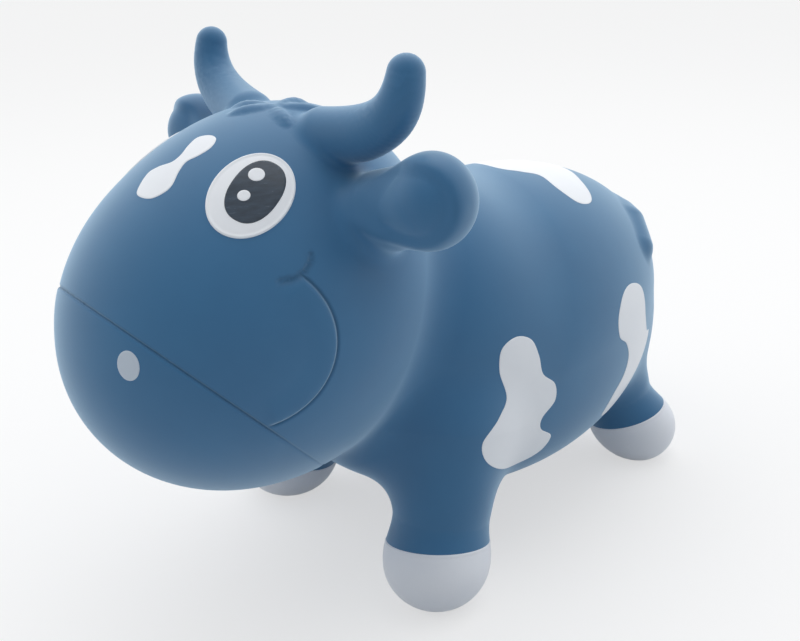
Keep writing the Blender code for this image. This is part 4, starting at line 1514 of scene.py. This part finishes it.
@dataclass(frozen=True)
class Eye:
    """A raised white plate with a rolled rim, a glossy pupil and two glints, given on the left."""

    origin: Triple = (0.0600, -0.1665, 0.3365)
    facing: Pair = (-23.0, 51.0)
    white: Pair = (0.0241, 0.0318)
    white_at: Pair = (-0.0010, -0.0002)
    pupil: Pair = (0.0152, 0.0233)
    pupil_at: Pair = (0.0018, 0.0007)
    tilt: float = -46.0
    pupil_tilt: float = -42.0
    pupil_squareness: float = 2.25
    glints: tuple[tuple[str, Pair, float], ...] = (
        ("upper", (0.0044, 0.0114), 0.0049),
        ("lower", (-0.0058, -0.0019), 0.0038),
    )
    glint_shape: Pair = (1.06, 0.96)
    glint_tilt: float = 15.0
    rim: Profile = Profile((
        (0.0, -0.0006), (0.00010, 0.00050), (0.0005, 0.00095), (0.0011, 0.00100), (0.0018, 0.00072),
        (0.0026, 0.00060), (0.0034, 0.00068),
    ))
    disc: Profile = Profile(((0.0, 0.00050), (0.00008, 0.00084), (0.0006, 0.00098), (0.0016, 0.00094)))
    dot: Profile = Profile(((0.0, 0.00080), (0.00008, 0.00108), (0.0005, 0.00120), (0.0010, 0.00116)))

    def build(self, form: Form, side: Side, white: "Finish", gloss: "Finish") -> None:
        """Makes the plates of one eye.

        Args:
            form: The form it lies on.
            side: The side it is on.
            white: Finish of the white and the glints.
            gloss: Finish of the pupil.
        """
        shape = (form, self.origin, self.facing, side)
        plate = oval(*self.white, self.white_at, self.tilt, count=160)
        pupil = oval(*self.pupil, self.pupil_at, self.pupil_tilt, self.pupil_squareness, count=140)
        Film(f"{side.word}_eye_white", *shape, plate, self.rim, cell=0.0016).build(white, Slot.WHITE)
        Film(f"{side.word}_pupil", *shape, pupil, self.disc, cell=0.0016).build(gloss, Slot.PUPIL)
        for level, at, radius in self.glints:
            width, height = self.glint_shape
            dot = oval(radius * width, radius * height, at, self.glint_tilt, count=48)
            Film(f"{side.word}_{level}_glint", *shape, dot, self.dot, cell=0.0014).build(white, Slot.WHITE)


@dataclass(frozen=True)
class Nostril:
    """A painted oval on each side of the muzzle, given on the left."""

    origin: Triple = (0.0525, -0.2567, 0.2518)
    facing: Pair = (-56.0, 10.0)
    half: Pair = (0.0074, 0.0094)

    def build(self, form: Form, side: Side, finish: "Finish") -> None:
        """Makes one nostril.

        Args:
            form: The form it lies on.
            side: The side it is on.
            finish: Its finish.
        """
        outline = oval(*self.half, count=64)
        film = Film(f"{side.word}_nostril", form, self.origin, self.facing, side, outline, SPRAYED, cell=0.0014)
        film.build(finish, Slot.HOOF)


# ---- Finishes ----


def linear(colour: str) -> tuple[float, float, float, float]:
    """An sRGB hex colour, such as 3c6482, as linear RGBA."""
    parts = [int(colour[i:i + 2], 16) / 255 for i in (0, 2, 4)]
    return (*[c / 12.92 if c <= 0.04045 else ((c + 0.055) / 1.055) ** 2.4 for c in parts], 1.0)


def add_node(tree: bpy.types.NodeTree, kind: str, settings: dict | None = None,
             links: dict | None = None) -> bpy.types.Node:
    """Adds a node with its settings and links.

    Args:
        tree: The node tree.
        kind: The node's type name.
        settings: Attribute or input names, or input numbers, with their values.
        links: Input names or numbers, with the output sockets that feed them.

    Returns:
        The new node.
    """
    node = tree.nodes.new(kind)
    for key, value in (settings or {}).items():
        if isinstance(key, str) and hasattr(node, key):
            setattr(node, key, value)
        else:
            node.inputs[key].default_value = value
    for key, source in (links or {}).items():
        tree.links.new(source, node.inputs[key])
    return node


@dataclass(frozen=True)
class Finish:
    """A surface: two tones that drift into each other, painted shade along creases where it has a crease
    colour, a grain and slow ripples, and how it shines.
    """

    name: str
    light: str
    dark: str
    roughness: float
    roughness_drift: float = 0.04
    drift_size: float = 60 * MILLIMETRE
    grain_size: float = 0.9 * MILLIMETRE
    grain_height: float = 0.02 * MILLIMETRE
    ripple_size: float = 28 * MILLIMETRE
    ripple_height: float = 0.10 * MILLIMETRE
    stretch: Triple = (1.0, 1.0, 1.0)
    # The next colour is painted shade, mixed in along the pressed creases; crease_share sets how much of it at
    # a full crease.
    crease_tone: str | None = None
    ior: float = 1.5
    specular: float = 0.5
    sheen: float = 0.0
    sheen_roughness: float = 0.5
    sheen_tint: str = "ffffff"
    subsurface: float = 0.0
    subsurface_depth: float = 4 * MILLIMETRE
    crease_share: float = 0.75
    made: dict = field(default_factory=dict, compare=False, hash=False)

    def material(self) -> bpy.types.Material:
        """Makes the material on first use.

        Returns:
            The material, the same one each time.
        """
        if "material" not in self.made:
            self.made["material"] = self.new_material()
        return self.made["material"]

    def new_material(self) -> bpy.types.Material:
        """Builds the material's nodes.

        Returns:
            The new material.
        """
        material = bpy.data.materials.new(self.name)
        material.use_nodes = True
        tree = material.node_tree
        tree.nodes.clear()
        place = add_node(tree, "ShaderNodeTexCoord")
        stretched = add_node(
            tree, "ShaderNodeMapping", {"Scale": self.stretch}, {"Vector": place.outputs["Object"]})
        vector = stretched.outputs["Vector"]
        drift = add_node(
            tree, "ShaderNodeTexNoise", {"Scale": 1 / self.drift_size, "Detail": 3.0, "Roughness": 0.55},
            {"Vector": vector})
        colour = add_node(
            tree, "ShaderNodeMix", {"data_type": "RGBA", 6: linear(self.dark), 7: linear(self.light)},
            {"Factor": drift.outputs["Fac"]}).outputs[2]
        # Painted shade: where the crease attribute is high, the colour is mixed towards a darker one.
        if self.crease_tone is not None:
            crease = add_node(tree, "ShaderNodeAttribute", {"attribute_name": "crease"})
            share = add_node(
                tree, "ShaderNodeMath", {"operation": "MULTIPLY", 1: self.crease_share},
                {0: crease.outputs["Fac"]})
            colour = add_node(
                tree, "ShaderNodeMix", {"data_type": "RGBA", 7: linear(self.crease_tone)},
                {"Factor": share.outputs[0], 6: colour}).outputs[2]
        shine = add_node(
            tree, "ShaderNodeMapRange",
            {"To Min": self.roughness - self.roughness_drift, "To Max": self.roughness + self.roughness_drift},
            {"Value": drift.outputs["Fac"]})
        ripple = add_node(
            tree, "ShaderNodeTexNoise", {"Scale": 1 / self.ripple_size, "Detail": 1.0}, {"Vector": vector})
        grain = add_node(
            tree, "ShaderNodeTexNoise", {"Scale": 1 / self.grain_size, "Detail": 2.0}, {"Vector": vector})
        waves = add_node(
            tree, "ShaderNodeBump", {"Strength": 1.0, "Distance": self.ripple_height},
            {"Height": ripple.outputs["Fac"]})
        relief = add_node(
            tree, "ShaderNodeBump", {"Strength": 1.0, "Distance": self.grain_height},
            {"Height": grain.outputs["Fac"], "Normal": waves.outputs["Normal"]})
        shader = add_node(
            tree, "ShaderNodeBsdfPrincipled",
            {
                "IOR": self.ior, "Specular IOR Level": self.specular, "Metallic": 0.0,
                "Sheen Weight": self.sheen,
                "Sheen Roughness": self.sheen_roughness, "Sheen Tint": linear(self.sheen_tint),
                "Subsurface Weight": self.subsurface, "Subsurface Scale": self.subsurface_depth,
            },
            {
                "Base Color": colour, "Roughness": shine.outputs["Result"],
                "Normal": relief.outputs["Normal"],
            })
        add_node(tree, "ShaderNodeOutputMaterial", links={"Surface": shader.outputs["BSDF"]})
        return material

    def dress(self, piece: bpy.types.Object) -> None:
        """Gives a piece this finish."""
        piece.data.materials.clear()
        piece.data.materials.append(self.material())

    def dress_node(self, piece: bpy.types.Object) -> None:
        """Gives a kept CAD node this finish, in the slots it has."""
        for slot in piece.material_slots:
            slot.material = self.material()


# Rotomoulded plasticised PVC with a soft-touch, sandblasted mould texture: a dusty, even blue with no mirror
# highlight, that turns paler where it is seen at a grazing angle. Along the pressed creases its colour is
# darkened to a deeper blue as painted shade.
SKIN_PVC = Finish(
    "rotomoulded_soft_touch_pvc", light="386f99", dark="2f628c", roughness=0.47, crease_tone="1b4667",
    specular=0.28, sheen=1.0, sheen_roughness=0.47, sheen_tint="c4e0f4")
# Sprayed vinyl ink over the same skin: a dense cool white with a faint orange peel.
WHITE_INK = Finish(
    "sprayed_white_vinyl_ink", light="eef2f7", dark="e6ebf2", roughness=0.42, drift_size=35 * MILLIMETRE,
    grain_size=1.4 * MILLIMETRE, grain_height=0.025 * MILLIMETRE)
# The same ink sprayed thinner on the hooves, so the blue greys it.
HOOF_INK = Finish(
    "sprayed_thin_white_vinyl_ink", light="e9edf4", dark="dfe5ee", roughness=0.46, drift_size=30 * MILLIMETRE,
    grain_size=1.2 * MILLIMETRE, grain_height=0.03 * MILLIMETRE)
# Dabbed thinnest on the nostrils, where the blue shows through as a cool grey.
NOSTRIL_INK = Finish(
    "dabbed_thin_white_vinyl_ink", light="c6d2df", dark="bcc8d6", roughness=0.46, drift_size=30 * MILLIMETRE,
    grain_size=1.2 * MILLIMETRE, grain_height=0.03 * MILLIMETRE)
# Glossy navy-black enamel wiped on by pad, whose colour drifts in fine level streaks between near black and a
# paler blue.
# The streaks are partly the pad's wiping, and their paler tone is painted reflection of a soft light streak in
# the gloss.
PUPIL_ENAMEL = Finish(
    "pad_printed_navy_enamel", light="3a4d60", dark="0e1a26", roughness=0.24, roughness_drift=0.12,
    drift_size=5 * MILLIMETRE, grain_size=1.0 * MILLIMETRE, grain_height=0.03 * MILLIMETRE,
    ripple_size=6 * MILLIMETRE, ripple_height=0.05 * MILLIMETRE, stretch=(0.4, 0.4, 2.2), ior=1.46)
# Injection-moulded low-density polyethylene: waxy, slightly translucent white.
PLUG_PLASTIC = Finish(
    "moulded_ldpe", light="eceeee", dark="e4e7e8", roughness=0.34, drift_size=12 * MILLIMETRE,
    grain_size=0.6 * MILLIMETRE, grain_height=0.01 * MILLIMETRE, ripple_height=0.02 * MILLIMETRE,
    subsurface=0.15)


# ---- Valve ----


@dataclass(frozen=True)
class Valve:
    """The collar moulded into the belly and its plug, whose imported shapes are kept."""

    collar: str = "valve_collar"
    plug: str = "valve_plug"

    def build(self) -> None:
        """Dresses the two nodes."""
        for name, finish in ((self.collar, SKIN_PVC), (self.plug, PLUG_PLASTIC)):
            finish.dress_node(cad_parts[name])
            LOG.info("%s: kept, dressed as %s", name, finish.name)


# ---- Studio ----


@dataclass(frozen=True)
class Lamp:
    """A soft box that looks at the cow."""

    name: str
    at: Triple
    size: float
    watts: float

    def build(self, target: Vector) -> None:
        """Hangs the lamp.

        Args:
            target: The point it looks at.
        """
        data = bpy.data.lights.new(self.name, "AREA")
        data.shape = "SQUARE"
        data.size = self.size
        data.energy = self.watts
        lamp = bpy.data.objects.new(self.name, data)
        lamp.location = self.at
        lamp.rotation_euler = (target - Vector(self.at)).to_track_quat("-Z", "Y").to_euler()
        bpy.context.scene.collection.objects.link(lamp)


@dataclass(frozen=True)
class Studio:
    """A pale sweep, soft boxes and the camera of the photograph."""

    target: Triple = (-0.0306, -0.0111, 0.2)
    azimuth: float = 51.5145
    elevation: float = 23.0285
    roll: float = 2.5675
    distance: float = 0.7544
    focal_pixels: float = 912.289
    centre_pixels: Pair = (365.88, 290.76)
    sensor: float = 36.0
    floor_size: float = 60.0
    floor_colour: str = "f6f7f8"
    opening_elevation: float = 12.0
    opening_edges: Pair = (-0.05, 0.75)
    opening_strength: float = 0.36
    tent_strength: float = 1.34
    floor_bounce: str = "cdd1d5"
    shadow_share: float = 0.45
    lamps: tuple[Lamp, ...] = (
        Lamp("top_box", (-0.35, 0.35, 1.7), 1.6, 8.0),
    )

    def build(self) -> None:
        """Sets up the floor, the light and the camera."""
        self.floor()
        self.sky()
        for lamp in self.lamps:
            lamp.build(Vector(self.target))
        self.camera()
        bpy.context.scene.view_settings.view_transform = "Standard"

    def floor(self) -> None:
        """A plain pale floor that keeps the cow's shadow."""
        half = self.floor_size / 2
        corners = np.array([(-1, -1, 0), (1, -1, 0), (1, 1, 0), (-1, 1, 0)]) * half
        floor = link_mesh("floor", corners, [[0, 1, 2, 3]])
        floor.data.materials.append(self.paper())

    def seen(self, tree: bpy.types.NodeTree) -> bpy.types.NodeSocket:
        """1 for rays by which the background is seen: the camera's, and those of gloss and glass.

        Args:
            tree: The node tree of the floor or the world.

        Returns:
            The socket that carries it.
        """
        path = add_node(tree, "ShaderNodeLightPath")
        glossy = add_node(
            tree, "ShaderNodeMath", {"operation": "MAXIMUM"},
            {0: path.outputs["Is Camera Ray"], 1: path.outputs["Is Glossy Ray"]})
        return add_node(
            tree, "ShaderNodeMath", {"operation": "MAXIMUM"},
            {0: glossy.outputs[0], 1: path.outputs["Is Transmission Ray"]}).outputs[0]

    def paper(self) -> bpy.types.Material:
        """Matt paper that shows nearly white, with a soft shadow, and throws less light back up.

        Returns:
            The new material.
        """
        material = bpy.data.materials.new("matt_paper_sweep")
        material.use_nodes = True
        tree = material.node_tree
        tree.nodes.clear()
        seen = self.seen(tree)
        colour = add_node(
            tree, "ShaderNodeMix",
            {"data_type": "RGBA", 6: linear(self.floor_bounce), 7: linear(self.floor_colour)},
            {0: seen})
        matt = add_node(tree, "ShaderNodeBsdfDiffuse", {"Roughness": 0.5}, {"Color": colour.outputs[2]})
        white = add_node(tree, "ShaderNodeEmission", {"Color": (1.0, 1.0, 1.0, 1.0), "Strength": 1.0})
        share = add_node(
            tree, "ShaderNodeMath", {"operation": "MULTIPLY", 1: 1 - self.shadow_share}, {0: seen})
        mixed = add_node(
            tree, "ShaderNodeMixShader",
            links={0: share.outputs[0], 1: matt.outputs["BSDF"], 2: white.outputs["Emission"]})
        add_node(tree, "ShaderNodeOutputMaterial", links={"Surface": mixed.outputs["Shader"]})
        return material

    def towards(self, elevation: float) -> Array:
        """A direction in the camera's azimuth.

        Args:
            elevation: Degrees above the horizon.

        Returns:
            Its unit vector, away from the cow.
        """
        azimuth, lift = math.radians(self.azimuth), math.radians(elevation)
        return np.array([
            math.sin(azimuth) * math.cos(lift), -math.cos(azimuth) * math.cos(lift), math.sin(lift),
        ])

    def sky(self) -> None:
        """A white tent that lights softly from every side but its opening, and shows plain white."""
        world = bpy.data.worlds.new("studio")
        bpy.context.scene.world = world
        world.use_nodes = True
        tree = world.node_tree
        tree.nodes.clear()
        way = add_node(tree, "ShaderNodeTexCoord")
        facing = add_node(
            tree, "ShaderNodeVectorMath",
            {"operation": "DOT_PRODUCT", 1: tuple(self.towards(self.opening_elevation))},
            {0: way.outputs["Generated"]})
        wall = add_node(
            tree, "ShaderNodeMapRange",
            {
                "interpolation_type": "SMOOTHSTEP",
                "From Min": self.opening_edges[0], "From Max": self.opening_edges[1],
                "To Min": self.tent_strength, "To Max": self.opening_strength,
            },
            {"Value": facing.outputs["Value"]})
        strength = add_node(
            tree, "ShaderNodeMix", {"data_type": "FLOAT", 3: 1.0},
            {0: self.seen(tree), 2: wall.outputs["Result"]})
        glow = add_node(
            tree, "ShaderNodeBackground", {"Color": (1.0, 1.0, 1.0, 1.0)},
            {"Strength": strength.outputs[0]})
        add_node(tree, "ShaderNodeOutputWorld", links={"Surface": glow.outputs["Background"]})

    def camera(self) -> None:
        """The photograph's camera, from its fitted angles and focal length in pixels."""
        roll = math.radians(self.roll)
        back = self.towards(self.elevation)
        right = np.cross(-back, (0, 0, 1))
        right /= np.linalg.norm(right)
        down = np.cross(-back, right)
        across = right * math.cos(roll) + down * math.sin(roll)
        below = -right * math.sin(roll) + down * math.cos(roll)
        pose = np.eye(4)
        pose[:3, 0], pose[:3, 1], pose[:3, 2] = across, -below, back
        pose[:3, 3] = np.array(self.target) + back * self.distance
        data = bpy.data.cameras.new("camera")
        data.sensor_width = self.sensor
        data.lens = self.focal_pixels * self.sensor / IMAGE_WIDTH
        data.shift_x = (IMAGE_WIDTH / 2 - self.centre_pixels[0]) / IMAGE_WIDTH
        data.shift_y = (self.centre_pixels[1] - IMAGE_HEIGHT / 2) / IMAGE_WIDTH
        camera = bpy.data.objects.new("camera", data)
        camera.matrix_world = Matrix(pose.tolist())
        bpy.context.scene.collection.objects.link(camera)
        bpy.context.scene.camera = camera


def main() -> None:
    """Builds the cow's looks in order: skin, paint, eyes, valve, studio."""
    logging.basicConfig(level=logging.INFO, format="%(name)s %(message)s")
    form = skin_form()
    MouldedSkin(form).build(SKIN_PVC, HOOF_INK)
    for patch in (FLANK_PATCH, HAUNCH_PATCH, BACK_PATCH, BLAZE_PATCH):
        patch.build(form, WHITE_INK)
    for side in Side:
        Eye().build(form, side, WHITE_INK, PUPIL_ENAMEL)
        Nostril().build(form, side, NOSTRIL_INK)
    Valve().build()
    Studio().build()


if __name__ == "__main__":
    main()
